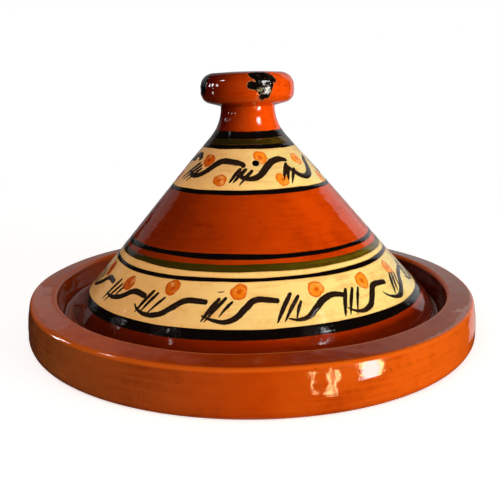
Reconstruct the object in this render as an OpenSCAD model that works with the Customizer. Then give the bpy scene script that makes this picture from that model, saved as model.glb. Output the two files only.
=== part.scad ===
// Tagine pot: a thick low dish of glazed red clay and the conical lid that stands in it.
// Millimetres, +Z up. The origin is the middle of the underside, on the table.
// The painted front faces -Y.

/* [Dish] */
// Diameter over the dish at its widest, where the wall swells
dish_d = 304.8; // [260:0.2:360]
// How far the wall leans back in from its widest to the rim
wall_lean = 2.4; // [0:0.1:5]
// Height of the rim's outer edge above the table
rim_h = 30; // [28:0.2:45]
// Width of the flat rim
rim_w = 16.8; // [12:0.2:22]
// How much higher the rim's inner edge is than its outer edge
rim_rise = 2.5; // [0:0.1:4]
// Rounding of the rim's two edges
rim_round = 2.8; // [1:0.1:4]
// Radius that turns the wall under into the foot
wall_round = 8; // [4:0.5:14]
// Height of the upright part of the wall above that turn
upright_h = 3; // [1:0.2:6]
// Thickness of the dish's floor at its middle
floor_t = 8; // [6:0.5:10]
// Hollow turned under the floor, inside the foot ring
foot_hollow = 1.5; // [0.5:0.1:2.5]
// Width of the foot ring that stands on the table
foot_ring_w = 16; // [10:1:24]
// Rounding of the foot ring's inner edge
foot_round = 1; // [0.5:0.1:2]

/* [Seat of the lid] */
// Height of the ledge that carries the lid
seat_h = 16; // [14:0.2:20]
// Width of the ledge
seat_w = 17; // [15:0.5:24]
// Rounding where the ledge meets the wall
seat_round = 3; // [1:0.2:4]
// Gap all round between the lid's foot and the dish's wall
lid_play = 4.6; // [1:0.2:5]
// How far the inner wall leans out from the ledge up to the rim
inner_lean = 4.4; // [1:0.2:7]

/* [Lid] */
// Height from the lid's foot to where the straight side would meet the neck
cone_h = 125.4; // [100:0.2:150]
// Thickness of the lid's wall
lid_wall = 7.5; // [6:0.1:9]
// Height of the upright edge of the lid's foot
lip_h = 4.8; // [3:0.2:7]
// Width of the lid's foot, which stands on the ledge
lip_w = 9.5; // [8:0.5:11]
// Rounding of the foot's edges
lip_round = 1.6; // [0.5:0.1:2]
// How far the side is hollowed in above the foot
side_hollow = 1.6; // [0:0.1:4]
// Diameter of the neck
neck_d = 35.8; // [30:0.2:42]
// Radius that sweeps the side into the neck
neck_sweep = 30; // [16:0.5:34]
// Least clay left between the top of the lid's hollow and the knob
crown_t = 8; // [5:0.5:12]

/* [Knob] */
// Diameter of the knob
knob_d = 62; // [54:0.5:74]
// Height of the knob above its joint with the neck
knob_h = 22.2; // [20:0.1:30]
// Height of the bit of neck that belongs to the knob
knob_neck_h = 2; // [2:0.1:5]
// Rounding between that bit of neck and the knob's underside
knob_neck_round = 1.8; // [1:0.1:3]
// Rounding of the knob's upper edge
knob_top_round = 9; // [5:0.5:10]
// Rounding of the knob's lower edge
knob_low_round = 7; // [4:0.5:8]
// How much the knob's top is crowned
knob_crown = 1; // [0:0.1:2]

/* [Steam vent] */
// Diameter of the hole that lets steam out of the lid
vent_d = 4.6; // [3:0.1:7]
// Height of the vent above the lid's foot
vent_h = 102.8; // [70:0.2:106]
// Turn of the vent from the painted front, to the right
vent_turn = 6.5; // [-45:0.5:45]

/* [Hidden] */

terracotta = [0.62, 0.20, 0.05];
cream = [0.93, 0.78, 0.50];

// Dish
dish_r = dish_d / 2;
widest_z = wall_round + upright_h;
rim_out_r = dish_r - wall_lean;
rim_in_r = rim_out_r - rim_w;
seat_out_r = rim_in_r - inner_lean;     // where the ledge meets the wall
seat_in_r = seat_out_r - seat_w;
foot_in_r = dish_r - wall_round - foot_ring_w;
floor_z = foot_hollow + floor_t;

// Lid
foot_r = seat_out_r - lid_play;         // outside of the lid's foot
lip_in_r = foot_r - lip_w;
neck_r = neck_d / 2;
side_z = seat_h + lip_h;                // the sloping side starts on top of the lip
corner_z = seat_h + cone_h;             // the side's line meets the neck's line
side_run = foot_r - neck_r;
side_rise = corner_z - side_z;
half_angle = atan(side_run / side_rise);                // of the cone, from its axis
neck_z = corner_z + neck_sweep * tan(half_angle / 2);   // joint of the neck and the knob
level_wall = lid_wall / cos(half_angle);                // the wall measured level
apex_z = corner_z + (neck_r - level_wall) / tan(half_angle);  // tip of the inner cone
hollow_z = min(neck_z - crown_t, apex_z - 1);
hollow_r = (apex_z - hollow_z) * tan(half_angle);
curve_end = 0.7;                        // share of the side that is hollowed, then straight
curve_steps = 9;
curve = [for (i = [1 : curve_steps]) curve_end * i / curve_steps];

// Knob
knob_r = knob_d / 2;
under_z = neck_z + knob_neck_h;
top_z = neck_z + knob_h;

function unit(v) = v / norm(v);
function place(p) = [p[0], p[1]];
function rounding(p) = len(p) > 2 ? p[2] : 0;

// How much of the edge from a to b the rounding of a may take up
function room(a, b) = norm(place(a) - place(b)) * (rounding(b) > 0 ? 0.5 : 1);

// The arc that rounds corner b between a and c, no larger than its edges allow
function corner(a, b, c, steps) =
    let (
        u = unit(place(a) - place(b)),
        v = unit(place(c) - place(b)),
        half = acos(u * v) / 2,
        reach = min(rounding(b) / tan(half), room(b, a), room(b, c)),
        r = reach * tan(half),
        mid = place(b) + unit(u + v) * r / sin(half),
        from = place(b) + u * reach - mid,
        to = place(b) + v * reach - mid,
        start = atan2(from[1], from[0]),
        turn = atan2(from[0] * to[1] - from[1] * to[0], from * to)
    )
    [for (i = [0 : steps]) mid + r * [cos(start + turn * i / steps), sin(start + turn * i / steps)]];

// An outline of [radius, height, rounding] points with each rounding drawn as an arc
function rounded(points, steps) =
    let (n = len(points))
    [for (i = [0 : n - 1])
        each (rounding(points[i]) > 0
            ? corner(points[(i + n - 1) % n], points[i], points[(i + 1) % n], steps)
            : [place(points[i])])];

// The lid's side: s runs from 0 on the lip to 1 at the corner with the neck.
// The hollowing is deepest a fifth of the way up and dies out towards the neck.
function hollowing(s) = side_hollow * (s / 0.2) * pow((1 - s) / 0.8, 4);
function side_point(s, inward) =
    [foot_r - s * side_run - hollowing(s) - inward, side_z + s * side_rise];

module lathe(points, steps) {
    rotate_extrude($fn = 144) polygon(rounded(points, steps));
}

// Low dish: foot ring, swelling wall, flat rim, ledge for the lid and shallow floor
module base_dish() {
    wall_steps = 4;
    floor_steps = 8;
    underside = [
        [0, foot_hollow],
        [foot_in_r - foot_hollow, foot_hollow, foot_round],
        [foot_in_r, 0, foot_round],
        [dish_r, 0, wall_round],
        [dish_r, widest_z]
    ];
    wall = [for (i = [1 : wall_steps - 1])
        let (up = i / wall_steps)
        [dish_r - wall_lean * pow(up, 2), widest_z + up * (rim_h - widest_z)]];
    rim_and_seat = [
        [rim_out_r, rim_h, rim_round],
        [rim_in_r, rim_h + rim_rise, rim_round],
        [seat_out_r, seat_h, seat_round],
        [seat_in_r, seat_h]
    ];
    bowl = [for (i = [floor_steps - 1 : -1 : 0])
        let (out = i / floor_steps)
        [seat_in_r * out, floor_z + (seat_h - floor_z) * pow(out, 3)]];
    color(terracotta) lathe(concat(underside, wall, rim_and_seat, bowl), 6);
}

// Hollow cone that stands on the ledge, up to the top of the neck
module lid_cone() {
    outside = concat(
        [[foot_r, seat_h, lip_round], [foot_r, side_z, lip_round]],
        [for (s = curve) side_point(s, 0)],
        [[neck_r, corner_z, neck_sweep], [neck_r, neck_z]]
    );
    inside = concat(
        [[0, neck_z], [0, hollow_z], [hollow_r, hollow_z, neck_r]],
        [for (i = [curve_steps - 1 : -1 : 0]) side_point(curve[i], level_wall)],
        [[lip_in_r, side_z - (foot_r - level_wall - lip_in_r) / tan(half_angle), lip_round]],
        [[lip_in_r, seat_h, lip_round]]
    );
    color(cream) difference() {
        lathe(concat(outside, inside), 8);
        steam_vent();
    }
}

// Drill for the vent, square to the lid's side and only through the near wall
module steam_vent() {
    on_side = side_point((vent_h - lip_h) / side_rise, 0);
    rotate([0, 0, vent_turn - 90])
        translate([on_side[0], 0, on_side[1]])
        rotate([0, 90 - half_angle, 0])
        translate([0, 0, -2 * lid_wall])
        cylinder(h = 3 * lid_wall, d = vent_d, $fn = 48);
}

// Solid knob, thrown apart and joined face to face on the neck
module lid_knob() {
    low_round = min(knob_low_round, knob_r - neck_r - knob_neck_round);
    color(terracotta) lathe([
        [0, neck_z],
        [neck_r, neck_z],
        [neck_r, under_z, knob_neck_round],
        [knob_r, under_z, low_round],
        [knob_r, top_z - knob_crown, knob_top_round],
        [neck_r / 2, top_z, knob_r],
        [0, top_z]
    ], 8);
}

base_dish();
lid_cone();
lid_knob();
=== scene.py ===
"""Tagine pot: a glazed red clay dish and its painted lid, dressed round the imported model.

Run as a script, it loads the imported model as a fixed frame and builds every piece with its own
operator. The painted front faces -Y, +X is to its right and the table is z = 0. A "turn" is an
angle round the pot, from the front towards +X. Shapes are worked out in millimetres.
"""

import math
import random

import bpy
import bmesh
import numpy as np
from mathutils import Matrix, Vector, geometry


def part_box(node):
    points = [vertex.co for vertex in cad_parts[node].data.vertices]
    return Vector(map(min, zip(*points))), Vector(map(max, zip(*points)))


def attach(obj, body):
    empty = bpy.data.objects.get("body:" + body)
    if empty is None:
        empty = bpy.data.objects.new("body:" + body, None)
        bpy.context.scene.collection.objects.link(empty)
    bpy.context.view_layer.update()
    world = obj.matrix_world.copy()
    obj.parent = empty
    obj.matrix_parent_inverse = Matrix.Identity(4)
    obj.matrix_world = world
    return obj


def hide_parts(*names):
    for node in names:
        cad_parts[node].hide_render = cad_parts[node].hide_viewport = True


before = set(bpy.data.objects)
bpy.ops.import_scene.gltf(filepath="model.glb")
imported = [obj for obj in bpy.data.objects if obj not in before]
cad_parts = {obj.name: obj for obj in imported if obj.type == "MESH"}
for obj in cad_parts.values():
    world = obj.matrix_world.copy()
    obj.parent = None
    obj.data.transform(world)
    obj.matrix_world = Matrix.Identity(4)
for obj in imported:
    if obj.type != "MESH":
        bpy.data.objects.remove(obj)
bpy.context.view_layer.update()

bl_info = {
    "name": "Tagine Pot",
    "version": (1, 0, 0),
    "blender": (4, 5, 0),
    "location": "3D View > Sidebar > Tagine",
    "description": "Builds a glazed tagine dish, its painted lid and the studio round them",
    "category": "Add Mesh",
}

MM = 0.001
TAU = 2 * math.pi
DISH_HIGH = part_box("base_dish")[1]
LID_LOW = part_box("lid_cone")[0]
KNOB_LOW, KNOB_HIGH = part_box("lid_knob")
BAKE_MAP = "OFBake"


# ---------------------------------------------------------------- settings


def length(name, description, default):
    """A size in metres."""
    return bpy.props.FloatProperty(
        name=name, description=description, default=default, unit="LENGTH", subtype="DISTANCE", precision=5
    )


def angle(name, description, degrees):
    """An angle, given here in degrees."""
    return bpy.props.FloatProperty(
        name=name, description=description, default=math.radians(degrees), unit="ROTATION", subtype="ANGLE"
    )


def number(name, description, default):
    """A plain number."""
    return bpy.props.FloatProperty(name=name, description=description, default=default, precision=4)


def colour(name, description, default):
    """A colour as it shows on a screen."""
    return bpy.props.FloatVectorProperty(
        name=name, description=description, default=default, subtype="COLOR_GAMMA", size=3, min=0, max=1
    )


class TagineDishSizes(bpy.types.PropertyGroup):
    """Sizes of the dish."""

    diameter: length("Diameter", "Across the dish at its widest", 2 * DISH_HIGH.x)
    wall_lean: length("Wall lean", "How far the wall leans in from its widest to the rim", 0.0024)
    wall_round: length("Foot rounding", "Radius that turns the wall under into the foot", 0.008)
    upright: length("Upright", "Height of the upright part of the wall", 0.003)
    rim_height: length("Rim height", "Height of the rim's outer edge", 0.030)
    rim_width: length("Rim width", "Width of the flat rim", 0.0168)
    rim_rise: length("Rim rise", "How much higher the rim's inner edge is", 0.0025)
    rim_round: length("Rim rounding", "Rounding of the rim's edges", 0.0028)
    inner_lean: length("Inner lean", "How far the inner wall leans out up to the rim", 0.0044)
    ledge_height: length("Ledge height", "Height of the ledge that carries the lid", 0.016)
    ledge_width: length("Ledge width", "Width of the ledge", 0.017)
    floor_height: length("Floor height", "Top of the floor at its middle", 0.0095)
    foot_width: length("Foot ring", "Width of the foot ring", 0.016)
    foot_hollow: length("Foot hollow", "Hollow turned under the floor", 0.0015)
    glaze_edge: length("Glaze edge", "Height at which the glaze ends above the table", 0.0022)
    throw_depth: length("Throwing rings", "Depth of the rings left by throwing", 0.00004)


class TagineLidSizes(bpy.types.PropertyGroup):
    """Sizes of the lid."""

    foot_height: length("Foot", "Height of the underside of the lid's foot", LID_LOW.z)
    foot_diameter: length("Foot diameter", "Across the lid's foot", 2 * 0.1242)
    lip_height: length("Lip height", "Height of the upright edge of the foot", 0.0048)
    lip_width: length("Lip width", "Width of the foot", 0.0095)
    lip_round: length("Lip rounding", "Rounding of the foot's edges", 0.0016)
    cone_height: length("Cone height", "From the foot to where side and neck would meet", 0.1254)
    side_hollow: length("Side hollow", "How far the side is hollowed in above the foot", 0.0016)
    wall: length("Wall", "Thickness of the lid's wall", 0.0075)
    neck_diameter: length("Neck", "Diameter of the neck", 0.0358)
    neck_sweep: length("Neck sweep", "Radius that sweeps the side into the neck", 0.030)
    lean_left: angle("Lean left", "How far the lid leans to the left", 0.98)
    lean_back: angle("Lean back", "How far the lid leans back", 1.36)
    lean_pivot: length("Lean pivot", "Height at which the lean leaves the lid in place", 0.060)
    vent_diameter: length("Vent", "Diameter of the steam vent", 0.0046)
    vent_height: length("Vent height", "Height of the vent above the table", 0.11875)
    vent_turn: angle("Vent turn", "Turn of the vent from the front", 6.6)
    throw_depth: length("Throwing rings", "Depth of the rings left by throwing", 0.00003)
    slip_rise: length("Slip rise", "How far painted slip stands proud", 0.00010)


class TagineKnobSizes(bpy.types.PropertyGroup):
    """Sizes of the knob."""

    diameter: length("Diameter", "Across the knob", 2 * KNOB_HIGH.x)
    joint_height: length("Joint", "Height of its joint with the neck", KNOB_LOW.z)
    height: length("Height", "Height above the joint", KNOB_HIGH.z - KNOB_LOW.z)
    neck_height: length("Neck", "Height of its bit of neck", 0.002)
    neck_round: length("Neck rounding", "Rounding under the knob", 0.0018)
    low_round: length("Lower rounding", "Rounding of its lower edge", 0.007)
    top_round: length("Upper rounding", "Rounding of its upper edge", 0.009)
    crown: length("Crown", "How much its top is crowned", 0.001)


class TagineColours(bpy.types.PropertyGroup):
    """Colours of the clay, the glaze and the slips, as they show on a screen."""

    glaze_thin: colour("Thin glaze", "Where the glaze lies thin on an edge", (0.88, 0.38, 0.07))
    clay: colour("Bare clay", "Unglazed red clay", (0.70, 0.40, 0.27))
    cream_thin: colour("Thin cream", "Where the cream lies thin", (0.95, 0.71, 0.39))
    olive_thin: colour("Thin olive", "Streaks in the green bands", (0.26, 0.19, 0.02))
    black: colour("Black slip", "Lines and strokes", (0.045, 0.025, 0.02))
    black_thin: colour("Thin black", "Where the black lies thin", (0.30, 0.15, 0.06))
    stroke: colour("Stroke", "Brushed strokes where they lie thick", (0.15, 0.10, 0.07))
    stroke_thin: colour("Thin stroke", "Brushed strokes where they run out", (0.42, 0.29, 0.17))
    dot_dark: colour("Dark of a dot", "Tint of the ring and the heart of a dot", (0.90, 0.66, 0.45))
    tan: colour("Tan", "Edge of the stain on the knob", (0.78, 0.53, 0.34))


# Colours that change round the pot: painted light and shade, darker on the left and lighter on the right
# as the light falls. Each has its label, what it is, and the colour on the left, at the front and on the
# right.
SIDES = ("left", "front", "right")
SIDE_LIT_COLOURS = {
    "dish": ("Dish", "Red glaze of the dish",
             (0.53, 0.275, 0.12), (0.685, 0.24, 0.005), (0.85, 0.365, 0.06)),
    # The rim's level parts: painted lighter or darker than the wall by how the light falls on faces that
    # look up.
    "top": ("Rim", "Red glaze of the dish's level parts",
            (0.80, 0.345, 0.115), (0.60, 0.175, 0.0), (0.60, 0.25, 0.05)),
    # The inside of the rim: painted light on the left, where it faces the lamps, and painted shade on the
    # right.
    "inner": ("Inner wall", "Red glaze inside the dish's rim",
              (0.74, 0.30, 0.03), (0.55, 0.17, 0.02), (0.30, 0.06, 0.005)),
    # Painted shade at the lid's foot, which stands in the shadow of the dish's rim.
    "foot": ("Lid foot", "Red glaze at the foot of the lid",
             (0.35, 0.085, 0.0), (0.60, 0.155, 0.0), (0.59, 0.155, 0.0)),
    "lid": ("Lid", "Red glaze of the lid",
            (0.515, 0.15, 0.005), (0.709, 0.225, 0.0), (0.825, 0.268, 0.0)),
    "knob": ("Knob", "Red glaze of the knob and neck",
             (0.34, 0.04, 0.0), (0.715, 0.23, 0.0), (0.92, 0.32, 0.02)),
    "cream": ("Cream", "Ground of the painted bands",
              (0.99, 0.745, 0.45), (0.985, 0.835, 0.515), (0.97, 0.885, 0.54)),
    "olive": ("Olive", "Green lines",
              (0.185, 0.15, 0.01), (0.21, 0.18, 0.01), (0.40, 0.335, 0.045)),
    "dot": ("Dot", "Watery orange dots",
            (0.78, 0.33, 0.05), (0.95, 0.50, 0.08), (0.97, 0.59, 0.14)),
}


def side_lit_colours():
    """The settings of the colours that change round the pot, which paint its light and shade."""
    return {
        f"{key}_{side}": colour(f"{label}, {side}", f"{about}, {side}", shade)
        for key, (label, about, *shades) in SIDE_LIT_COLOURS.items()
        for side, shade in zip(SIDES, shades)
    }


TagineColours.__annotations__.update(side_lit_colours())


class TagineStudio(bpy.types.PropertyGroup):
    """Camera, lamps, surroundings and floor."""

    distance: length("Distance", "From the camera to its target", 0.515)
    elevation: angle("Elevation", "Height of the camera's view", 13.654)
    target_height: length("Target", "Height of the camera's target", 0.060)
    tilt_down: angle("Tilt down", "How far the view is turned down from the target", 0.617)
    turn_left: angle("Turn left", "How far the view is turned left of the target", 0.07)
    roll: angle("Roll", "Roll of the camera", -0.43)
    lens: number("Lens", "Focal length in millimetres", 53.5)
    window: number("Window", "Brightness of the tall window on the right", 20.0)
    slats: number("Slats", "Brightness of the narrow panes beside it", 27.0)
    key: number("Key", "Brightness of the soft key lamp", 18.4)
    fill: number("Fill", "Brightness of the soft fill lamp", 2.0)
    high_fill: number("High fill", "Brightness of the fill lamp above it", 1.7)
    glints: number("Glints", "Brightness of the small panes close to one spot each", 16.0)
    card: number("Card", "Brightness of the white card behind on the right", 0.62)
    dim_card: number("Dim card", "Brightness of the card behind on the left", 0.18)
    ambient: number("Ambient", "Light that comes from all round", 0.24)
    room: number("Room", "How bright the room is in reflections", 0.008)
    back_left: number("Back left", "How bright the room is behind on the left in reflections", 0.20)
    back_right: number("Back right", "How bright the room is behind on the right in reflections", 0.42)
    floor_lift: number("Floor lift", "White added to the floor for the camera", 0.62)


SETTINGS = (
    ("tagine_dish", TagineDishSizes),
    ("tagine_lid", TagineLidSizes),
    ("tagine_knob", TagineKnobSizes),
    ("tagine_colours", TagineColours),
    ("tagine_studio", TagineStudio),
)


def settings(name):
    """One of the scene's groups of settings."""
    return getattr(bpy.context.scene, "tagine_" + name)


def mm(metres):
    """A length in millimetres."""
    return metres / MM


def new_object(name, data):
    """An object in the scene."""
    made = bpy.data.objects.new(name, data)
    bpy.context.scene.collection.objects.link(made)
    return made


# ---------------------------------------------------------------- shader graphs


class Wire:
    """One output of a node, which takes part in plain sums."""

    def __init__(self, graph, socket):
        self.graph = graph
        self.socket = socket

    def math(self, operation, *values):
        """A Math node with these values in its sockets."""
        return self.graph.add("ShaderNodeMath", {"operation": operation}, dict(enumerate(values)))

    def __add__(self, other):
        return self.math("ADD", self, other)

    def __radd__(self, other):
        return self.math("ADD", other, self)

    def __sub__(self, other):
        return self.math("SUBTRACT", self, other)

    def __rsub__(self, other):
        return self.math("SUBTRACT", other, self)

    def __mul__(self, other):
        return self.math("MULTIPLY", self, other)

    def __rmul__(self, other):
        return self.math("MULTIPLY", other, self)

    def __abs__(self):
        return self.math("ABSOLUTE", self)

    def most(self, other):
        """The larger of two."""
        return self.math("MAXIMUM", self, other)


class Graph:
    """The nodes of one material or world."""

    def __init__(self, owner):
        owner.use_nodes = True
        self.tree = owner.node_tree
        self.tree.nodes.clear()

    def add(self, kind, setup=None, sockets=None, output=0):
        """Adds a node: its settings first, then the values or wires of its sockets."""
        node = self.tree.nodes.new(kind)
        for name, value in (setup or {}).items():
            if name == "stops":
                self.fill_ramp(node.color_ramp, value)
            else:
                setattr(node, name, value)
        for key, value in (sockets or {}).items():
            if isinstance(value, Wire):
                self.tree.links.new(value.socket, node.inputs[key])
            else:
                node.inputs[key].default_value = value
        return Wire(self, node.outputs[output]) if len(node.outputs) else node

    @staticmethod
    def fill_ramp(ramp, stops):
        """Sets a ramp's stops from (place, colour) pairs."""
        while len(ramp.elements) < len(stops):
            ramp.elements.new(1)
        for element, (place, shade) in zip(ramp.elements, stops):
            element.position = place
            element.color = shade

    def mix(self, factor, low, high, blend="MIX"):
        """Mixes two colours."""
        setup = {"data_type": "RGBA", "blend_type": blend, "clamp_factor": True}
        return self.add("ShaderNodeMix", setup, {0: factor, 6: low, 7: high}, output=2)

    def tint(self, base, by):
        """A colour multiplied by another."""
        return self.mix(1.0, base, by, "MULTIPLY")

    def ramp(self, value, stops):
        """Colours along a value, from (place, colour) stops."""
        return self.add("ShaderNodeValToRGB", {"stops": stops}, {0: value})

    def vector(self, operation, *values, output=0):
        """A Vector Math node. Its output "Value" is a number."""
        return self.add("ShaderNodeVectorMath", {"operation": operation}, dict(enumerate(values)), output)

    def part(self, vector, axis):
        """The X, Y or Z of a vector."""
        return self.add("ShaderNodeSeparateXYZ", {}, {"Vector": vector}, axis)

    def coordinate(self, output="Object"):
        """The place on the object, or with "Normal" the way that it faces there."""
        return self.add("ShaderNodeTexCoord", output=output)

    def noise(self, place, scale, detail=2.0, roughness=0.5):
        """A noise of about `scale` patches to the unit."""
        sockets = {"Vector": place, "Scale": scale, "Detail": detail, "Roughness": roughness}
        return self.add("ShaderNodeTexNoise", {}, sockets)

    def cells(self, place, scale):
        """How far it is to the nearest of scattered points, about `scale` of them to the unit."""
        return self.add("ShaderNodeTexVoronoi", {}, {"Vector": place, "Scale": scale}, "Distance")

    def ease(self, value, low, high, to_low=0.0, to_high=1.0):
        """Maps low..high to another range, smoothly and clamped."""
        sockets = {"Value": value, 1: low, 2: high, 3: to_low, 4: to_high}
        return self.add("ShaderNodeMapRange", {"interpolation_type": "SMOOTHSTEP"}, sockets)

    def ray(self, kind):
        """1 for rays of one kind, such as "Glossy", and 0 for others."""
        return self.add("ShaderNodeLightPath", output=f"Is {kind} Ray")

    def mark(self, name, output="Fac"):
        """A number or vector that the mesh carries."""
        return self.add("ShaderNodeAttribute", {"attribute_name": name}, output=output)


def linear(screen):
    """A screen colour as the shader's linear one."""
    low = [c / 12.92 if c <= 0.04045 else ((c + 0.055) / 1.055) ** 2.4 for c in screen]
    return (*low, 1.0)


def tone(name):
    """One of the pot's colours for a shader."""
    return linear(getattr(settings("colours"), name))


def throwing_place(g, along, across):
    """A place for streaks that run round the pot: long along the turn, fine up and down."""
    return g.vector("MULTIPLY", g.mark("lay", "Vector"), (along, along, across))


# Gritty patches at the lid's foot: turn in degrees, height and reach in metres.
GRIT = (
    (-45, 0.0320, 0.0055), (-28, 0.0325, 0.0060), (-22, 0.0325, 0.0050), (17, 0.0315, 0.0075),
    (21, 0.0265, 0.0080),
)
GRIT_RADIUS = 0.1135
GLAZE_RISE = 0.00030
# Where the painted light and shade stand across the pot, and how much the glaze's clouds shift it.
SIDE_LIT_AT = (0.14, 0.52, 0.80)    # where the left, front and right colours stand, from left to right
SIDE_LIT_CLOUD = 0.16               # how far clouds in the glaze shift them
# Painted light and shade on faces that look up, such as the rim's top.
TOP_SHADE_FACING = (0.75, 0.95)      # how far up a face looks where the rim's tone begins and is full
# Painted light and shade on the inner wall: lit on the left, in shade on the right.
INNER_SHADE_FACING = (-0.03, -0.08)   # facing times metres from the middle, the same for the inner wall
COLLAR_FADE = 0.012              # half the height over which the lid's tone turns into the knob's
# Painted shade at the lid's foot, under the dish's rim.
FOOT_SHADE_HEIGHTS = (0.050, 0.045)    # where the tone of the lid's foot begins and is full, from above
UPPER_HEIGHTS = (0.10, 0.12)     # where the upper bands' shade begins and is full
UPPER_SHADES = {"olive": (0.50, 0.46, 1.0), "cream": (0.87, 0.86, 0.95)}
POOLED = (0.78, 0.62, 0.5)       # tint where glaze lies deep in a corner
MOTTLES = ((0.34, (0.82, 0.71, 0.54)), (0.50, (0.97, 0.95, 0.90)), (0.64, (1.0, 1.0, 1.0)))


def grit_mask(g, place):
    """1 inside the gritty patches at the lid's foot."""
    mask = None
    for turn, height, reach in GRIT:
        a = math.radians(turn)
        spot = (GRIT_RADIUS * math.sin(a), -GRIT_RADIUS * math.cos(a), height)
        near = g.ease(g.vector("DISTANCE", place, spot, output="Value"), reach, reach * 0.45)
        mask = near if mask is None else mask.most(near)
    return mask


def glaze_height(g, place, peel=1.0, grit=None):
    """The skin of a poured glaze: slow swells, fine ripples and pinholes, about 1 high."""
    swell = g.noise(place, 85.0, 1.0)
    ripples = g.noise(place, 330.0, 2.0, 0.55)
    pinholes = g.ease(g.cells(place, 130.0), 0.05, 0.11)
    rings = g.noise(throwing_place(g, 2.2, 420.0), 1.0, 2.0)
    skin = swell + ripples * (0.30 * peel) + rings * 0.22 + pinholes * 0.12
    if grit:
        skin = skin + g.ease(g.noise(place, 1300.0, 2.0, 0.6), 0.42, 0.62) * grit
    return skin


def specks(g, place, scale, size, patches, where):
    """1 in scattered specks: `scale` of them to the unit, in patches where a noise is high."""
    return g.ease(g.cells(place, scale), *size) * g.ease(g.noise(place, patches, 1.0), *where)


def side_lit_tone(g, piece, cloud):
    """A piece's tone from left to right: painted light and shade, darker on the left and lighter on the
    right.
    """
    place = g.part(g.mark("lay", "Vector"), "Y") * 0.5 + 0.5 + (cloud - 0.5) * SIDE_LIT_CLOUD
    return g.ramp(place, [(at, tone(f"{piece}_{side}")) for at, side in zip(SIDE_LIT_AT, SIDES)])


# Each finish takes a graph and the place on the piece, and gives its colour, its roughness, the
# height of its skin from 0 to about 1, and what a height of 1 is in metres.


def red_glaze(g, place, piece, collar=None):
    """Glossy clear glaze over red clay, mottled, thin on edges and deep in corners, with painted light and
    shade round the pot. `collar` is the height in metres above which the glaze takes the knob's tone."""
    cloud = g.noise(place, 24.0, 4.0, 0.6)
    mottle = g.noise(place, 120.0, 4.0, 0.65)
    streak = g.noise(throwing_place(g, 3.0, 520.0), 1.0, 3.0, 0.6)
    body = side_lit_tone(g, piece, cloud)
    if piece == "dish":
        # Faces that look up take the rim's painted light and shade.
        facing = g.coordinate("Normal")
        body = g.mix(g.ease(g.part(facing, "Z"), *TOP_SHADE_FACING), body, side_lit_tone(g, "top", cloud))
        # Faces that look inwards take the inner wall's painted light and shade.
        outward = g.vector("DOT_PRODUCT", facing, place, output="Value")
        body = g.mix(g.ease(outward, *INNER_SHADE_FACING), body, side_lit_tone(g, "inner", cloud))
    if collar:
        # Above the collar the glaze takes the knob's painted light and shade.
        height = g.part(place, "Z")
        above = g.ease(height, collar - COLLAR_FADE, collar + COLLAR_FADE)
        body = g.mix(above, body, side_lit_tone(g, "knob", cloud))
        # Painted shade at the lid's foot, under the dish's rim.
        body = g.mix(g.ease(height, *FOOT_SHADE_HEIGHTS), body, side_lit_tone(g, "foot", cloud))
    lie = cloud * 0.45 + mottle * 0.25 + streak * 0.30
    body = g.tint(body, g.ramp(lie, [(at, linear(tint)) for at, tint in MOTTLES]))
    body = g.mix(g.ease(lie, 0.56, 0.74, 0.0, 0.28), body, tone("glaze_thin"))
    bend = g.mark("bend")
    body = g.mix(g.ease(bend, 0.40, 1.0, 0.0, 0.55), body, tone("glaze_thin"))
    body = g.mix(g.ease(bend, -0.08, -0.8, 0.0, 0.8), body, g.tint(body, linear(POOLED)))
    speck = specks(g, place, 210.0, (0.15, 0.07), 60.0, (0.54, 0.62))
    body = g.mix(speck * 0.6, body, linear((0.26, 0.08, 0.02)))
    skin = glaze_height(g, place, 0.45, grit_mask(g, place) if collar else None)
    return body, g.ease(mottle, 0.3, 0.7, 0.035, 0.09), skin, GLAZE_RISE


def bare_clay(g, place):
    """Matt unglazed red clay with grog and turning marks."""
    grain = g.noise(place, 900.0, 3.0, 0.7)
    cloud = g.noise(place, 30.0, 3.0)
    streak = g.noise(throwing_place(g, 2.0, 700.0), 1.0, 2.0)
    stops = [(0.30, linear((0.52, 0.27, 0.17))), (0.52, tone("clay")), (0.72, linear((0.78, 0.50, 0.36)))]
    body = g.ramp(grain * 0.35 + cloud * 0.35 + streak * 0.30, stops)
    return body, g.ease(grain, 0.3, 0.7, 0.72, 0.92), grain + streak * 0.8, 0.00022


def slip(g, place, main, streaks, patch, gloss=0.05, thin_reach=0.9, peel=1.0, cover=0.0, side_lit=False):
    """Painted slip under glaze: streaked by the brush and thin at the sides of its band."""
    brush = g.noise(throwing_place(g, 2.6, 640.0), 1.0, 3.0, 0.6)
    cloud = g.noise(place, 70.0, 3.0, 0.6)
    fine = g.noise(place, 380.0, 3.0, 0.6)
    thin = tone(main + "_thin")
    middle = 0.5 * (streaks + patch + 0.15)
    lie = brush * streaks + cloud * patch + fine * 0.15
    covered = g.ease(lie, middle - 0.16 - cover, middle + 0.10 - cover)
    body = g.mix(covered, thin, side_lit_tone(g, main, cloud) if side_lit else tone(main))
    # Painted light and shade, darker on the left and lighter on the right.
    if side_lit:
        upper = g.ease(g.part(place, "Z"), *UPPER_HEIGHTS)
        body = g.mix(upper, body, g.vector("MULTIPLY", body, UPPER_SHADES[main]))
    body = g.mix(g.ease(g.mark("edge") + fine * 0.8, 0.35, 0.35 + thin_reach, 0.75, 0.0), body, thin)
    speck = specks(g, place, 230.0, (0.13, 0.06), 75.0, (0.55, 0.62))
    body = g.mix(speck * 0.6, body, linear((0.30, 0.13, 0.04)))
    skin = glaze_height(g, place, peel, grit_mask(g, place) if main == "black" else None)
    return body, g.ease(fine, 0.3, 0.7, gloss, gloss + 0.09), skin, GLAZE_RISE


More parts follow.
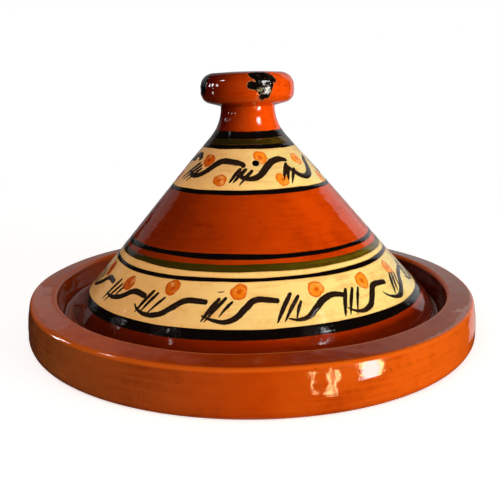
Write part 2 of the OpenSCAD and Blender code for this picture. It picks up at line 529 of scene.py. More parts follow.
def dot_paint(g, place):
    """Watery orange dots: a darker ring where the colour dried and a red heart."""
    run = g.mark("run") + (g.noise(place, 420.0, 3.0) - 0.5) * 0.42
    wash = g.noise(place, 260.0, 2.0)
    # Painted light and shade: the dots are darker on the left and lighter on the right.
    body = side_lit_tone(g, "dot", wash)
    heart = g.ease(run, 0.40, 0.18)
    ring = g.ease(run, 0.70, 0.88) * g.ease(run, 1.05, 0.95)
    body = g.mix(heart + ring * 0.7, body, g.vector("MULTIPLY", body, tone("dot_dark")[:3]))
    body = g.mix(g.ease(wash, 0.54, 0.70, 0.0, 0.3), body, tone("cream_front"))
    return body, g.ease(wash, 0.3, 0.7, 0.05, 0.12), glaze_height(g, place), 0.00026


def stain_glaze(g, place):
    """Black stain pooled on the knob, tan where it thins out at its edge."""
    fine = g.noise(place, 520.0, 3.0, 0.6)
    edge = g.mark("edge") + (fine - 0.5) * 0.9
    blotch = g.noise(place, 330.0, 3.0, 0.6)
    body = g.mix(g.ease(blotch, 0.54, 0.72), tone("black"), linear((0.24, 0.16, 0.10)))
    body = g.mix(g.ease(edge, 0.05, 0.50, 0.9, 0.0), body, tone("tan"))
    return body, g.ease(fine, 0.3, 0.7, 0.04, 0.12), glaze_height(g, place, 2.2), 0.00036


FINISHES = {
    "dish_red_glaze": (red_glaze, {"piece": "dish"}),
    "lid_red_glaze": (red_glaze, {"piece": "lid", "collar": 0.125}),
    "knob_red_glaze": (red_glaze, {"piece": "knob"}),
    "bare_clay": (bare_clay, {}),
    "cream_slip": (slip, {"main": "cream", "streaks": 0.42, "patch": 0.43, "cover": 0.035, "side_lit": True}),
    "olive_slip": (slip, {"main": "olive", "streaks": 0.62, "patch": 0.25, "side_lit": True}),
    "black_slip": (slip, {"main": "black", "streaks": 0.30, "patch": 0.20, "gloss": 0.04, "peel": 1.6,
                          "thin_reach": 0.12, "cover": 0.22}),
    "stroke_slip": (slip, {"main": "stroke", "streaks": 0.25, "patch": 0.30, "gloss": 0.06,
                           "thin_reach": 0.22, "cover": 0.12}),
    "dot_paint": (dot_paint, {}),
    "stain_glaze": (stain_glaze, {}),
}


def finish(name):
    """The material of a finish, made once."""
    material = bpy.data.materials.get(name)
    if material is None:
        material = bpy.data.materials.new(name)
        g = Graph(material)
        recipe, choices = FINISHES[name]
        base, roughness, height, rise = recipe(g, g.coordinate(), **choices)
        bump = g.add("ShaderNodeBump", {}, {"Strength": 1.0, "Distance": rise, "Height": height})
        sockets = {"Base Color": base, "Roughness": roughness, "Normal": bump, "IOR": 1.5}
        shader = g.add("ShaderNodeBsdfPrincipled", {}, sockets)
        g.add("ShaderNodeOutputMaterial", {}, {"Surface": shader})
    return material


# ---------------------------------------------------------------- outlines and wobbles


def lap(count):
    """The turns of `count` places round the pot."""
    return np.arange(count) * TAU / count


def spun(outline, columns):
    """The radii and the heights of an outline's rings, as arrays of rows by columns."""
    return (np.repeat(outline[:, axis:axis + 1], columns, 1) for axis in (0, 1))


def from_to(value, start, span):
    """0 up to a start, and 1 from a span further on."""
    return np.clip((value - start) / span, 0, 1)


def throwing_rings(height, drift, coarse, fine, share):
    """Rings left by throwing, at two spacings, which drift up and down round the pot."""
    return np.sin(height * TAU / coarse + drift) + share * np.sin(height * TAU / fine - drift)


def rounded(points, steps=8):
    """An outline of (radius, height) points, with the corners that have a third number, their
    rounding, drawn as arcs."""
    out = []
    for i, point in enumerate(points):
        here = np.array(point[:2], float)
        if len(point) < 3 or i in (0, len(points) - 1):
            out.append(here)
            continue
        before, after = np.array(points[i - 1][:2], float), np.array(points[i + 1][:2], float)
        u = (before - here) / np.linalg.norm(before - here)
        v = (after - here) / np.linalg.norm(after - here)
        half = math.acos(max(-1.0, min(1.0, float(u @ v)))) / 2
        spare = [np.linalg.norm(before - here) * (0.5 if len(points[i - 1]) > 2 else 1)]
        spare.append(np.linalg.norm(after - here) * (0.5 if len(points[i + 1]) > 2 else 1))
        reach = min(point[2] / math.tan(half), *spare)
        radius = reach * math.tan(half)
        middle = here + (u + v) / np.linalg.norm(u + v) * radius / math.sin(half)
        a, b = here + u * reach - middle, here + v * reach - middle
        start, turn = math.atan2(a[1], a[0]), math.atan2(a[0] * b[1] - a[1] * b[0], float(a @ b))
        for k in range(steps + 1):
            way = start + turn * k / steps
            out.append(middle + radius * np.array([math.cos(way), math.sin(way)]))
    return np.array(out)


SHORTEST = 0.05


def respaced(outline, spacing):
    """The outline with points added so that no stretch is longer than `spacing`."""
    out = [outline[0]]
    for a, b in zip(outline[:-1], outline[1:]):
        gap = np.linalg.norm(b - a)
        if gap < SHORTEST:
            continue
        parts = max(1, math.ceil(gap / spacing))
        out.extend(a + (b - a) * k / parts for k in range(1, parts + 1))
    return np.array(out)


BEND_REACH, FULL_BEND = 1.6, 0.9


def bend_of(outline):
    """How sharply the outline turns at each point: 1 on an outer edge, -1 in an inner corner."""
    step = np.diff(outline, axis=0)
    size = np.linalg.norm(step, axis=1)
    heading = np.unwrap(np.arctan2(step[:, 1], step[:, 0]))
    along = np.concatenate([[0], np.cumsum(size)])
    turned = np.interp(along, (along[1:] + along[:-1]) / 2, heading)
    ahead = np.interp(along + BEND_REACH, along, turned)
    behind = np.interp(along - BEND_REACH, along, turned)
    return np.clip((ahead - behind) / FULL_BEND, -1, 1)


class Wobble:
    """A closed wobble round the pot: seeded waves given as (waves to a lap, size)."""

    def __init__(self, seed, *waves):
        draw = random.Random(seed)
        self.waves = [(count, size, draw.uniform(0, TAU)) for count, size in waves]

    def __call__(self, turn):
        return sum(size * np.sin(count * turn + phase) for count, size, phase in self.waves)


class Rough:
    """A seeded ragged line along a length: waves given as (wavelength, size)."""

    def __init__(self, draw, *waves):
        self.waves = [(TAU / span, size, draw.uniform(0, TAU)) for span, size in waves]

    def __call__(self, along):
        return sum(size * np.sin(rate * along + phase) for rate, size, phase in self.waves)


# ---------------------------------------------------------------- meshes


FAR = 9.0             # an edge mark that says that no edge is near
SHARP = 60.0          # degrees between two faces that show as an edge
MAP_LOW, MAP_SPAN = 0.01, 0.98
POLE_LEVELS = (0.004, 0.996)


class Shape:
    """Points, faces and marks of one piece as it is put together, in millimetres."""

    def __init__(self):
        self.points, self.lay, self.marks = [], [], {"bend": [], "edge": [], "run": []}
        self.faces, self.slots, self.maps = [], [], []

    def add(self, points, lay, **marks):
        """Adds points and returns the number of the first."""
        first = len(self.points)
        self.points.extend(np.asarray(points, float).reshape(-1, 3).tolist())
        self.lay.extend(np.asarray(lay, float).reshape(-1, 3).tolist())
        count = len(self.points) - first
        for name, store in self.marks.items():
            values = np.asarray(marks.get(name, 0.0), float).ravel()
            store.extend(np.broadcast_to(values, (count,)).tolist())
        return first

    def face(self, corners, slot=0, places=None):
        """Adds a face with its finish and its place on the bake map."""
        self.faces.append(tuple(corners))
        self.slots.append(slot)
        self.maps.append(places)

    def cap(self, first, count, turned=False):
        """Closes a ring of `count` points."""
        ring = range(first, first + count)
        self.face(reversed(ring) if turned else ring)

    def sleeve(self, first, other, count):
        """Faces between two rings of `count` points, given by their first points."""
        for k in range(count):
            after = (k + 1) % count
            self.face((first + k, first + after, other + after, other + k))

    def build(self, name, finishes):
        """Makes the object."""
        mesh = bpy.data.meshes.new(name)
        mesh.from_pydata([tuple(c * MM for c in p) for p in self.points], [], self.faces)
        for finish_name in finishes:
            mesh.materials.append(finish(finish_name))
        mesh.polygons.foreach_set("material_index", self.slots)
        lay = mesh.attributes.new("lay", "FLOAT_VECTOR", "POINT")
        lay.data.foreach_set("vector", np.array(self.lay, np.float32).ravel())
        for key, values in self.marks.items():
            mark = mesh.attributes.new(key, "FLOAT", "POINT")
            mark.data.foreach_set("value", np.array(values, np.float32))
        if all(self.maps):
            layer = mesh.uv_layers.new(name=BAKE_MAP)
            flat = [c for places in self.maps for place in places for c in place]
            layer.data.foreach_set("uv", flat)
        work = bmesh.new()
        work.from_mesh(mesh)
        bmesh.ops.recalc_face_normals(work, faces=work.faces)
        work.to_mesh(mesh)
        work.free()
        mesh.polygons.foreach_set("use_smooth", [True] * len(mesh.polygons))
        mesh.set_sharp_from_angle(angle=math.radians(SHARP))
        return new_object(name, mesh)


def lay_of(turn, height):
    """The mark that streaks follow: the way round as a unit circle, and the height in metres."""
    turn, height = np.broadcast_arrays(turn, height)
    return np.stack([np.cos(turn), np.sin(turn), height * MM], -1)


def lathe(shape, turns, radii, heights, place, slots, marks, gaps=frozenset()):
    """Adds rows of rings to a shape, and closes the first and the last one to a point.

    radii and heights are arrays of rows by columns, and place turns them into points. gaps are the
    (row, column) cells to leave out.
    """
    rows, columns = radii.shape
    turn = np.broadcast_to(turns, radii.shape)
    row_marks = {key: np.repeat(np.asarray(value), columns) for key, value in marks.items()}
    first = shape.add(place(turn, radii, heights), lay_of(turn, heights), **row_marks)
    mean = np.stack([radii.mean(1), heights.mean(1)], 1)
    along = np.concatenate([[0], np.cumsum(np.linalg.norm(np.diff(mean, axis=0), axis=1))])
    full = along[-1] + mean[0, 0] + mean[-1, 0]
    level = (MAP_LOW + MAP_SPAN * (along + mean[0, 0]) / full).tolist()
    side = [MAP_LOW + MAP_SPAN * k / columns for k in range(columns + 1)]
    for row in range(rows - 1):
        low, high = level[row], level[row + 1]
        for column in range(columns):
            if (row, column) in gaps:
                continue
            a = first + row * columns + column
            b = first + row * columns + (column + 1) % columns
            left, right = side[column], side[column + 1]
            places = ((left, low), (right, low), (right, high), (left, high))
            shape.face((a, b, b + columns, a + columns), slots[row], places)
    for row, far in zip((0, rows - 1), POLE_LEVELS):
        height = heights[row].mean()
        pole = place(np.zeros(1), np.zeros(1), np.array([height]))
        tip = shape.add(pole, [(0, 0, height * MM)], edge=FAR)
        start = first + row * columns
        for column in range(columns):
            left, right = side[column], side[column + 1]
            places = ((left, level[row]), (right, level[row]), ((left + right) / 2, far))
            corners = (start + column, start + (column + 1) % columns, tip)
            shape.face(corners, slots[min(row, rows - 2)], places)
    return first


def upright(turn, radius, height):
    """Points of a pot that stands straight."""
    return np.stack([radius * np.sin(turn), -radius * np.cos(turn), height + 0 * turn], -1)


# ---------------------------------------------------------------- the lid's outside


class LidSide:
    """The lid's outside, from its foot to the top of its neck, and its lean."""

    def __init__(self):
        s = settings("lid")
        self.foot_z, self.foot_r = mm(s.foot_height), mm(s.foot_diameter) / 2
        self.neck_r = mm(s.neck_diameter) / 2
        self.side_z = self.foot_z + mm(s.lip_height)
        self.corner_z = self.foot_z + mm(s.cone_height)
        self.run, self.rise = self.foot_r - self.neck_r, self.corner_z - self.side_z
        self.half = math.atan(self.run / self.rise)
        self.hollow = mm(s.side_hollow)
        self.neck_z = mm(settings("knob").joint_height)
        line = [self.side_point(k / 60, 0) for k in range(60)]
        line = [(r, z) for r, z in line if z < self.corner_z - 12]
        sweep = [line[-1], (self.neck_r, self.corner_z, mm(s.neck_sweep)), (self.neck_r, self.neck_z)]
        outline = np.array(line[:-1] + rounded(sweep, 24).tolist())
        self.line_z, self.line_r = outline[:, 1], outline[:, 0]
        self.level_wall = mm(s.wall) / math.cos(self.half)
        self.round = Wobble(11, (2, 0.22), (3, 0.14), (5, 0.08))
        self.drift = Wobble(12, (1, 1.1), (2, 0.7), (4, 0.5))
        self.depth = mm(s.throw_depth)
        self.lean_x, self.lean_y = math.tan(s.lean_left), math.tan(s.lean_back)
        self.pivot = mm(s.lean_pivot)
        self.slip_rise = mm(s.slip_rise)

    def side_point(self, share, inward):
        """A point on the sloping side, `share` of the way up, `inward` of the outside."""
        hollowing = 0.0
        if share <= 0.7:
            hollowing = self.hollow * (share / 0.2) * ((1 - share) / 0.8) ** 4
        return (self.foot_r - share * self.run - hollowing - inward, self.side_z + share * self.rise)

    def ripple(self, turn, z):
        """Throwing rings and slow unevenness, which die out towards the foot."""
        rings = throwing_rings(z, self.drift(turn), 5.6, 3.1, 0.6)
        return from_to(z, 24, 12) * (self.depth * rings + self.round(turn) * 0.6)

    def even_radius(self, z):
        """The outside's radius at a height, without its ripple."""
        return np.interp(z, self.line_z, self.line_r)

    def radius(self, turn, z):
        """The outside's radius at a height."""
        return self.even_radius(z) + self.ripple(turn, z)

    def lean(self, turn, radius, z):
        """Points of the lid as it leans: level at its foot, and tilted above it."""
        x, y = radius * np.sin(turn), -radius * np.cos(turn)
        share = from_to(z, self.foot_z, 10)
        share = share * share * (3 - 2 * share)
        up = z - self.pivot
        return np.stack([
            x - share * self.lean_x * up,
            y + share * self.lean_y * up,
            z + share * (self.lean_x * x - self.lean_y * y),
        ], -1)

    def at(self, turn, z, lift=0.0):
        """Points on the outside, lifted off it square to its slope."""
        radius = self.radius(turn, z) + lift * math.cos(self.half)
        return self.lean(turn, radius, z + lift * math.sin(self.half))

    def beside(self, turn, z, across, up):
        """Moves a place on the side by distances along the turn and up the slope."""
        new_z = z + up * math.cos(self.half)
        return turn + across / self.even_radius(new_z), new_z


# Bands of the painted lid from the bottom up: the height at which each one ends, and its finish.
BANDS = (
    (29.5, "lid_red_glaze"), (33.9, "black_slip"), (56.3, "cream_slip"), (58.3, "black_slip"),
    (61.0, "cream_slip"), (64.5, "olive_slip"), (67.3, "lid_red_glaze"), (69.6, "black_slip"),
    (100.9, "lid_red_glaze"), (103.4, "black_slip"), (126.7, "cream_slip"), (129.1, "black_slip"),
    (132.8, "olive_slip"), (137.5, "black_slip"), (152.7, "lid_red_glaze"),
)
UPPER_BANDS = 100
# Waves in a band's edge: how many to a lap, and their share of its unevenness.
EDGE_WAVES = ((1, 1), (2, 1), (3, 0.8), (5, 0.6), (8, 0.35), (13, 0.25), (21, 0.15), (34, 0.08))
EDGE_ROW = 0.30
LID_FINISHES = ("lid_red_glaze", "black_slip", "cream_slip", "olive_slip", "bare_clay")
LID_COLUMNS, DISH_COLUMNS, KNOB_COLUMNS = 420, 480, 240
FIRST_ROW = 2.0          # from the foot's upper edge to the first row of the side
ROW_SPACING = 1.25
FOOT_INSIDE = 3.0        # height of the foot's inner edge, where the foot ends and the hollow begins


def band_edges(turns):
    """The height of each edge between bands round the lid, with the brush's wobble."""
    edges = []
    for k, (top, _) in enumerate(BANDS[:-1]):
        size = 0.16 if top > UPPER_BANDS else 0.22
        wobble = Wobble(40 + k, *((laps, size * share) for laps, share in EDGE_WAVES))
        edges.append(top + wobble(turns))
    return edges


def band_rows(turns, side):
    """Heights, distance from the band's edge and finish of every row of the lid's outside."""
    start = side.side_z + FIRST_ROW
    edges = [np.full_like(turns, start)] + band_edges(turns) + [np.full_like(turns, side.neck_z)]
    heights, edge_marks, slots = [], [], []
    for k, (low, high) in enumerate(zip(edges[:-1], edges[1:])):
        slot = LID_FINISHES.index(BANDS[k][1])
        width = float((high - low).mean())
        rim = min(EDGE_ROW / width, 0.25)
        inner = max(1, round((width * (1 - 2 * rim)) / ROW_SPACING))
        shares = [rim + (1 - 2 * rim) * j / inner for j in range(inner + 1)]
        for share in (0.0, rim * 0.5, *shares, 1 - rim * 0.5):
            heights.append(low + (high - low) * share)
            edge_marks.append(min(share, 1 - share) * width)
            slots.append(slot)
    heights.append(edges[-1])
    edge_marks.append(FAR)
    return np.array(heights), np.array(edge_marks), slots


# ---------------------------------------------------------------- operators: pieces


class TAGINE_OT_dish(bpy.types.Operator):
    """Builds the dish: foot ring, swelling wall, flat rim, ledge and shallow floor."""

    bl_idname = "tagine.dish"
    bl_label = "Build the dish"

    def execute(self, context):
        s = settings("dish")
        wide, lean, rim_z = mm(s.diameter) / 2, mm(s.wall_lean), mm(s.rim_height)
        widest_z = mm(s.wall_round) + mm(s.upright)
        rim_out = wide - lean
        rim_in = rim_out - mm(s.rim_width)
        ledge_out = rim_in - mm(s.inner_lean)
        ledge_in = ledge_out - mm(s.ledge_width)
        ledge_z, floor_z, hollow = mm(s.ledge_height), mm(s.floor_height), mm(s.foot_hollow)
        foot_in = wide - mm(s.wall_round) - mm(s.foot_width)
        wall_ups = [k / 12 for k in range(1, 12)]
        floor_ways = [k / 24 for k in range(23, 1, -1)]
        outline = [(8.0, hollow), (foot_in - hollow, hollow, 1.0), (foot_in, 0.0, 1.0)]
        outline += [(wide, 0.0, mm(s.wall_round)), (wide, widest_z)]
        outline += [(wide - lean * up ** 2, widest_z + up * (rim_z - widest_z)) for up in wall_ups]
        outline += [(rim_out, rim_z, mm(s.rim_round)), (rim_in, rim_z + mm(s.rim_rise), mm(s.rim_round))]
        outline += [(ledge_out, ledge_z, 3.0), (ledge_in, ledge_z)]
        outline += [(ledge_in * out, floor_z + (ledge_z - floor_z) * out ** 3) for out in floor_ways]
        outline = respaced(rounded(outline, 8), 2.0)
        turns = lap(DISH_COLUMNS)
        radii, heights = spun(outline, DISH_COLUMNS)
        inside = (outline[:, 0] < ledge_in + 0.01) & (outline[:, 1] > hollow + 0.5)
        wall = (outline[:, 0] > rim_in - 1) & (outline[:, 1] > 1.0)
        sway = Wobble(21, (2, 0.40), (3, 0.25), (5, 0.15), (9, 0.08))
        lift = Wobble(22, (2, 0.22), (3, 0.18), (7, 0.10), (11, 0.06))
        drift = Wobble(23, (1, 0.9), (3, 0.5))
        depth = mm(s.throw_depth)
        rings = throwing_rings(heights, drift(turns), 6.2, 2.7, 0.5)
        radii = radii + wall[:, None] * (depth * rings + sway(turns) * from_to(heights, 0, 12))
        heights = heights + from_to(outline[:, 1], 18, 10)[:, None] * lift(turns)
        spiral = np.sin(radii * TAU / 7.5 - turns) * from_to(radii, 0, 20)
        heights = heights + inside[:, None] * depth * 1.5 * spiral
        mean = outline[:-1, 1] + np.diff(outline[:, 1]) / 2
        outer_half = np.arange(len(mean)) < len(mean) / 2
        bare = (mean < mm(s.glaze_edge)) & (outline[:-1, 0] < wide) & outer_half
        shape = Shape()
        marks = {"bend": bend_of(outline), "edge": np.full(len(outline), FAR)}
        lathe(shape, turns, radii, heights, upright, bare.astype(int).tolist(), marks)
        dish = shape.build("dish", ("dish_red_glaze", "bare_clay"))
        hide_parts("base_dish")
        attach(dish, "dish")
        return {"FINISHED"}


class TAGINE_OT_lid(bpy.types.Operator):
    """Builds the lid: a hollow cone with painted bands, a neck and a steam vent."""

    bl_idname = "tagine.lid"
    bl_label = "Build the lid"

    def execute(self, context):
        side = LidSide()
        turns = lap(LID_COLUMNS)
        heights, edges, slots = band_rows(turns, side)
        radii = side.radius(turns[None, :], heights)
        painted = np.array([float(slot != 0) for slot in slots + [0]])
        rise = side.slip_rise * painted * from_to(edges, 0, EDGE_ROW)
        radii = radii + rise[:, None]
        bottom = self.foot_outline(side)
        clay = LID_FINISHES.index("bare_clay")
        inner = self.inner_outline(side)
        foot_r, foot_z = spun(bottom, LID_COLUMNS)
        inner_r, inner_z = spun(inner, LID_COLUMNS)
        drift = Wobble(31, (1, 1.0), (2, 0.5))
        fingers = np.sin(inner_z * TAU / 9.0 + turns + drift(turns))
        fade = from_to(inner_z, 24, 10) * from_to(inner_r, 6, 20)
        inner_r = inner_r + 0.45 * fade * fingers
        rows_r = np.concatenate([radii[::-1], foot_r, inner_r])
        rows_z = np.concatenate([heights[::-1], foot_z, inner_z])
        outline = np.stack([rows_r.mean(1), rows_z.mean(1)], 1)
        foot_slots = [0 if z > side.foot_z + 0.8 and r > side.foot_r - 3 else clay for r, z in bottom]
        all_slots = slots[::-1] + foot_slots + [clay] * len(inner)
        all_edges = np.concatenate([edges[::-1], np.full(len(bottom) + len(inner), FAR)])
        marks = {"bend": -bend_of(outline), "edge": all_edges}
        shape = Shape()
        vent = Vent(side, turns, rows_z, len(radii), len(radii) + len(foot_r))
        first = lathe(shape, turns, rows_r, rows_z, side.lean, all_slots, marks, gaps=vent.cells)
        vent.patch(shape, first, rows_z, LID_FINISHES.index("cream_slip"), clay)
        lid = shape.build("lid", LID_FINISHES)
        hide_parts("lid_cone")
        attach(lid, "lid")
        return {"FINISHED"}

    @staticmethod
    def foot_outline(side):
        """The lid's foot from its outer edge, under it, to its inner edge."""
        s = settings("lid")
        inner_r = side.foot_r - mm(s.lip_width)
        bend = mm(s.lip_round)
        slope_z = side.side_z + 1.6
        points = [
            (float(side.even_radius(slope_z)), slope_z),
            (side.foot_r, side.side_z, bend), (side.foot_r, side.foot_z, bend),
            (inner_r, side.foot_z, bend), (inner_r, side.foot_z + FOOT_INSIDE),
        ]
        return respaced(rounded(points, 6), 1.6)[:-1]

    @staticmethod
    def inner_outline(side):
        """The hollow of the lid from its foot up to its tip."""
        s = settings("lid")
        inner_r = side.foot_r - mm(s.lip_width)
        tan = math.tan(side.half)
        apex_z = side.corner_z + (side.neck_r - side.level_wall) / tan
        top_z = min(side.neck_z - 8.0, apex_z - 1)
        top_r = (apex_z - top_z) * tan
        start_z = side.side_z - (side.foot_r - side.level_wall - inner_r) / tan
        points = [(inner_r, side.foot_z + FOOT_INSIDE), (inner_r, start_z, mm(s.lip_round))]
        points += [side.side_point(share / 100, side.level_wall) for share in range(8, 100, 4)]
        points += [(top_r, top_z, 2.0), (1.5, top_z + 0.2)]
        return respaced(rounded(points, 5), 4.2)


def wrapped(angles):
    """Angles brought to within half a lap of nothing."""
    return np.angle(np.exp(1j * angles))


class Vent:
    """The steam vent: a round hole let into the rows of the lid's outside and hollow."""

    # Rings from the cells round the vent to its hole: how round each one is, from 0 to 1, its distance
    # from the hole's edge and its lift.
    RINGS = ((0.45, 0.9, 0.0), (1.0, 0.45, 0.0), (1.0, 0.12, -0.12), (1.0, 0.0, -0.45))
    MARGIN, INNER_MARGIN = 1.6, 2.8
    # The hole's wall is black slip: painted shade inside the hole.
    SHADE_LINING = LID_FINISHES.index("black_slip")
    # The corner of the bake map that all its faces share.
    MAP_CORNER = ((0.001, 0.001), (0.003, 0.001), (0.003, 0.003), (0.001, 0.003))

    def __init__(self, side, turns, rows_z, outer_rows, inner_start):
        s = settings("lid")
        self.side, self.turns = side, turns
        self.turn, self.z = s.vent_turn, mm(s.vent_height)
        self.radius = mm(s.vent_diameter) / 2
        self.wall = mm(s.wall)
        self.outer = self.window(rows_z, 0, outer_rows, self.z, self.radius + self.MARGIN)
        self.inner_z = self.z - self.wall * math.sin(side.half)
        reach = self.radius + self.INNER_MARGIN
        self.inner = self.window(rows_z, inner_start, len(rows_z), self.inner_z, reach)
        self.cells = frozenset(
            (row, column % len(turns))
            for window in (self.outer, self.inner)
            for row in range(window[0], window[1])
            for column in range(window[2], window[3])
        )

    def window(self, rows_z, start, end, z, reach):
        """The rows and columns of the cells that the hole takes up."""
        column = round(self.turn / TAU * len(self.turns))
        slant = reach * math.cos(self.side.half)
        near = [r for r in range(start, end) if abs(rows_z[r, column] - z) < slant]
        around = reach / float(self.side.even_radius(z)) / TAU * len(self.turns)
        return min(near) - 1, max(near) + 1, column - math.ceil(around), column + math.ceil(around)

    def border(self, window, columns, first):
        """The points round a window, in order, as (point number, row, column)."""
        top, bottom, left, right = window
        ring = [(top, c) for c in range(left, right)]
        ring += [(r, right) for r in range(top, bottom)]
        ring += [(bottom, c) for c in range(right, left, -1)]
        ring += [(r, left) for r in range(bottom, top, -1)]
        return [(first + r * columns + c % columns, r, c % columns) for r, c in ring]

    def patch(self, shape, first, rows_z, outside, inside):
        """Refills both windows with rings that narrow to the hole, and lines the hole in black as painted
        shade.
        """
        edges = []
        for window, z, deep, slot in (
            (self.outer, self.z, False, outside), (self.inner, self.inner_z, True, inside),
        ):
            border = self.border(window, len(self.turns), first)
            spot = []
            for _, r, c in border:
                turn = (self.turns[c] - self.turn + math.pi) % TAU - math.pi
                up = (rows_z[r, c] - z) / math.cos(self.side.half)
                spot.append((turn * float(self.side.even_radius(z)), up))
            spot = np.array(spot)
            way = np.arctan2(spot[:, 1], spot[:, 0])
            hole = np.stack([np.cos(way), np.sin(way)], 1)
            numbers = [n for n, _, _ in border]
            for share, beyond, lift in self.RINGS:
                radius = self.radius + beyond
                place = spot * (1 - share) + hole * radius * share if share < 1 else hole * radius
                turn, height = self.side.beside(self.turn, z, place[:, 0], place[:, 1])
                if deep:
                    points = self.inside_points(turn, height, lift)
                else:
                    points = self.side.at(turn, height, lift or self.side.slip_rise)
                start = shape.add(points, lay_of(turn, height), edge=FAR if share < 1 else 0.6)
                new = list(range(start, start + len(border)))
                self.stitch(shape, numbers, new, slot)
                numbers = new
            edges.append((numbers, way))
        self.line(shape, *edges)

    def inside_points(self, turn, height, lift):
        """Points on the hollow's surface, straight in from the outside."""
        out_z = height + self.wall * math.sin(self.side.half)
        return self.side.at(turn, out_z, -(self.wall + lift))

    def stitch(self, shape, outer, inner, slot):
        """Faces between two rings of the same count."""
        for k in range(len(outer)):
            after = (k + 1) % len(outer)
            shape.face((outer[k], outer[after], inner[after], inner[k]), slot, self.MAP_CORNER)

    def line(self, shape, outside, inside):
        """The wall of the hole between its outer and its inner ring, whose counts differ."""
        (outer, outer_way), (inner, inner_way) = outside, inside
        first = int(np.argmin(np.abs(wrapped(inner_way - outer_way[0]))))
        turned = 1 if wrapped(outer_way[1] - outer_way[0]) > 0 else -1
        inner_turned = 1 if wrapped(inner_way[1] - inner_way[0]) > 0 else -1
        order = [(first + turned * inner_turned * k) % len(inner) for k in range(len(inner))]
        goal = [turned * float(wrapped(way - outer_way[0])) % TAU for way in outer_way] + [TAU]
        inner_ways = (inner_way[j] - inner_way[first] for j in order)
        inner_goal = [turned * float(wrapped(way)) % TAU for way in inner_ways] + [TAU]
        i = j = 0
        while i < len(outer) or j < len(inner):
            o, n = outer[i % len(outer)], inner[order[j % len(inner)]]
            if j >= len(inner) or (i < len(outer) and goal[i + 1] <= inner_goal[j + 1]):
                i += 1
                shape.face((o, outer[i % len(outer)], n), self.SHADE_LINING, self.MAP_CORNER[:3])
            else:
                j += 1
                shape.face((o, inner[order[j % len(inner)]], n), self.SHADE_LINING, self.MAP_CORNER[:3])


class KnobSide:
    """The knob's outside as a line of radius and height, with a length along it."""

    def __init__(self):
        s = settings("knob")
        self.side = LidSide()
        base, wide = mm(s.joint_height), mm(s.diameter) / 2
        under, top = base + mm(s.neck_height), base + mm(s.height)
        neck = self.side.neck_r
        points = [
            (neck, base - 0.05), (neck, under - 1.9, mm(s.neck_round)),
            (wide, under + 1.5, mm(s.low_round)), (wide, top - mm(s.crown), mm(s.top_round)),
            (neck / 2, top, wide), (1.2, top),
        ]
        self.outline = respaced(rounded(points, 16), 1.2)
        size = np.linalg.norm(np.diff(self.outline, axis=0), axis=1)
        self.along = np.concatenate([[0], np.cumsum(size)])
        self.waist = float(self.along[np.argmax(self.outline[:, 0] > wide - 0.02)])
        self.wide = wide
        self.sway = Wobble(51, (2, 0.22), (3, 0.16), (5, 0.07))
        self.lift = Wobble(52, (2, 0.15), (3, 0.10))

    def uneven(self, turn, radius, height):
        """The slight unevenness of a thrown knob, which dies out on the neck and at the middle."""
        share = from_to(radius, self.side.neck_r, 8)
        rings = 0.07 * np.sin(height * TAU / 4.3 + turn)
        round_neck = self.side.ripple(turn, np.minimum(height, self.side.neck_z))
        inner = from_to(radius, 0, 10)
        radius = radius + share * (self.sway(turn) + rings) + (1 - share) * inner * round_neck
        return radius, height + share * self.lift(turn)

    def at(self, turn, along, lift=0.0):
        """Points on the knob by turn and length up from its widest level."""
        place = along + self.waist
        radius, height = (np.interp(place, self.along, line) for line in self.outline.T)
        ahead_r, ahead_z = (np.interp(place + 0.3, self.along, line) for line in self.outline.T)
        step_r, step_z = ahead_r - radius, ahead_z - height
        size = np.maximum(np.hypot(step_r, step_z), 1e-6)
        radius, height = self.uneven(turn, radius, height)
        return self.side.lean(turn, radius + lift * step_z / size, height - lift * step_r / size)


# The stains: how far apart the points of their outline are and how much they stray, the same for the
# points inside it, and the skin's height, its unevenness and how deep its underside is sunk.
STAIN_STEP, STAIN_RAGGED = 0.45, 0.14
STAIN_GRID, GRID_PLAY = 0.5, 0.1
STAIN_RISE, STAIN_ROUGH, STAIN_SUNK = 0.17, 0.045, 0.25


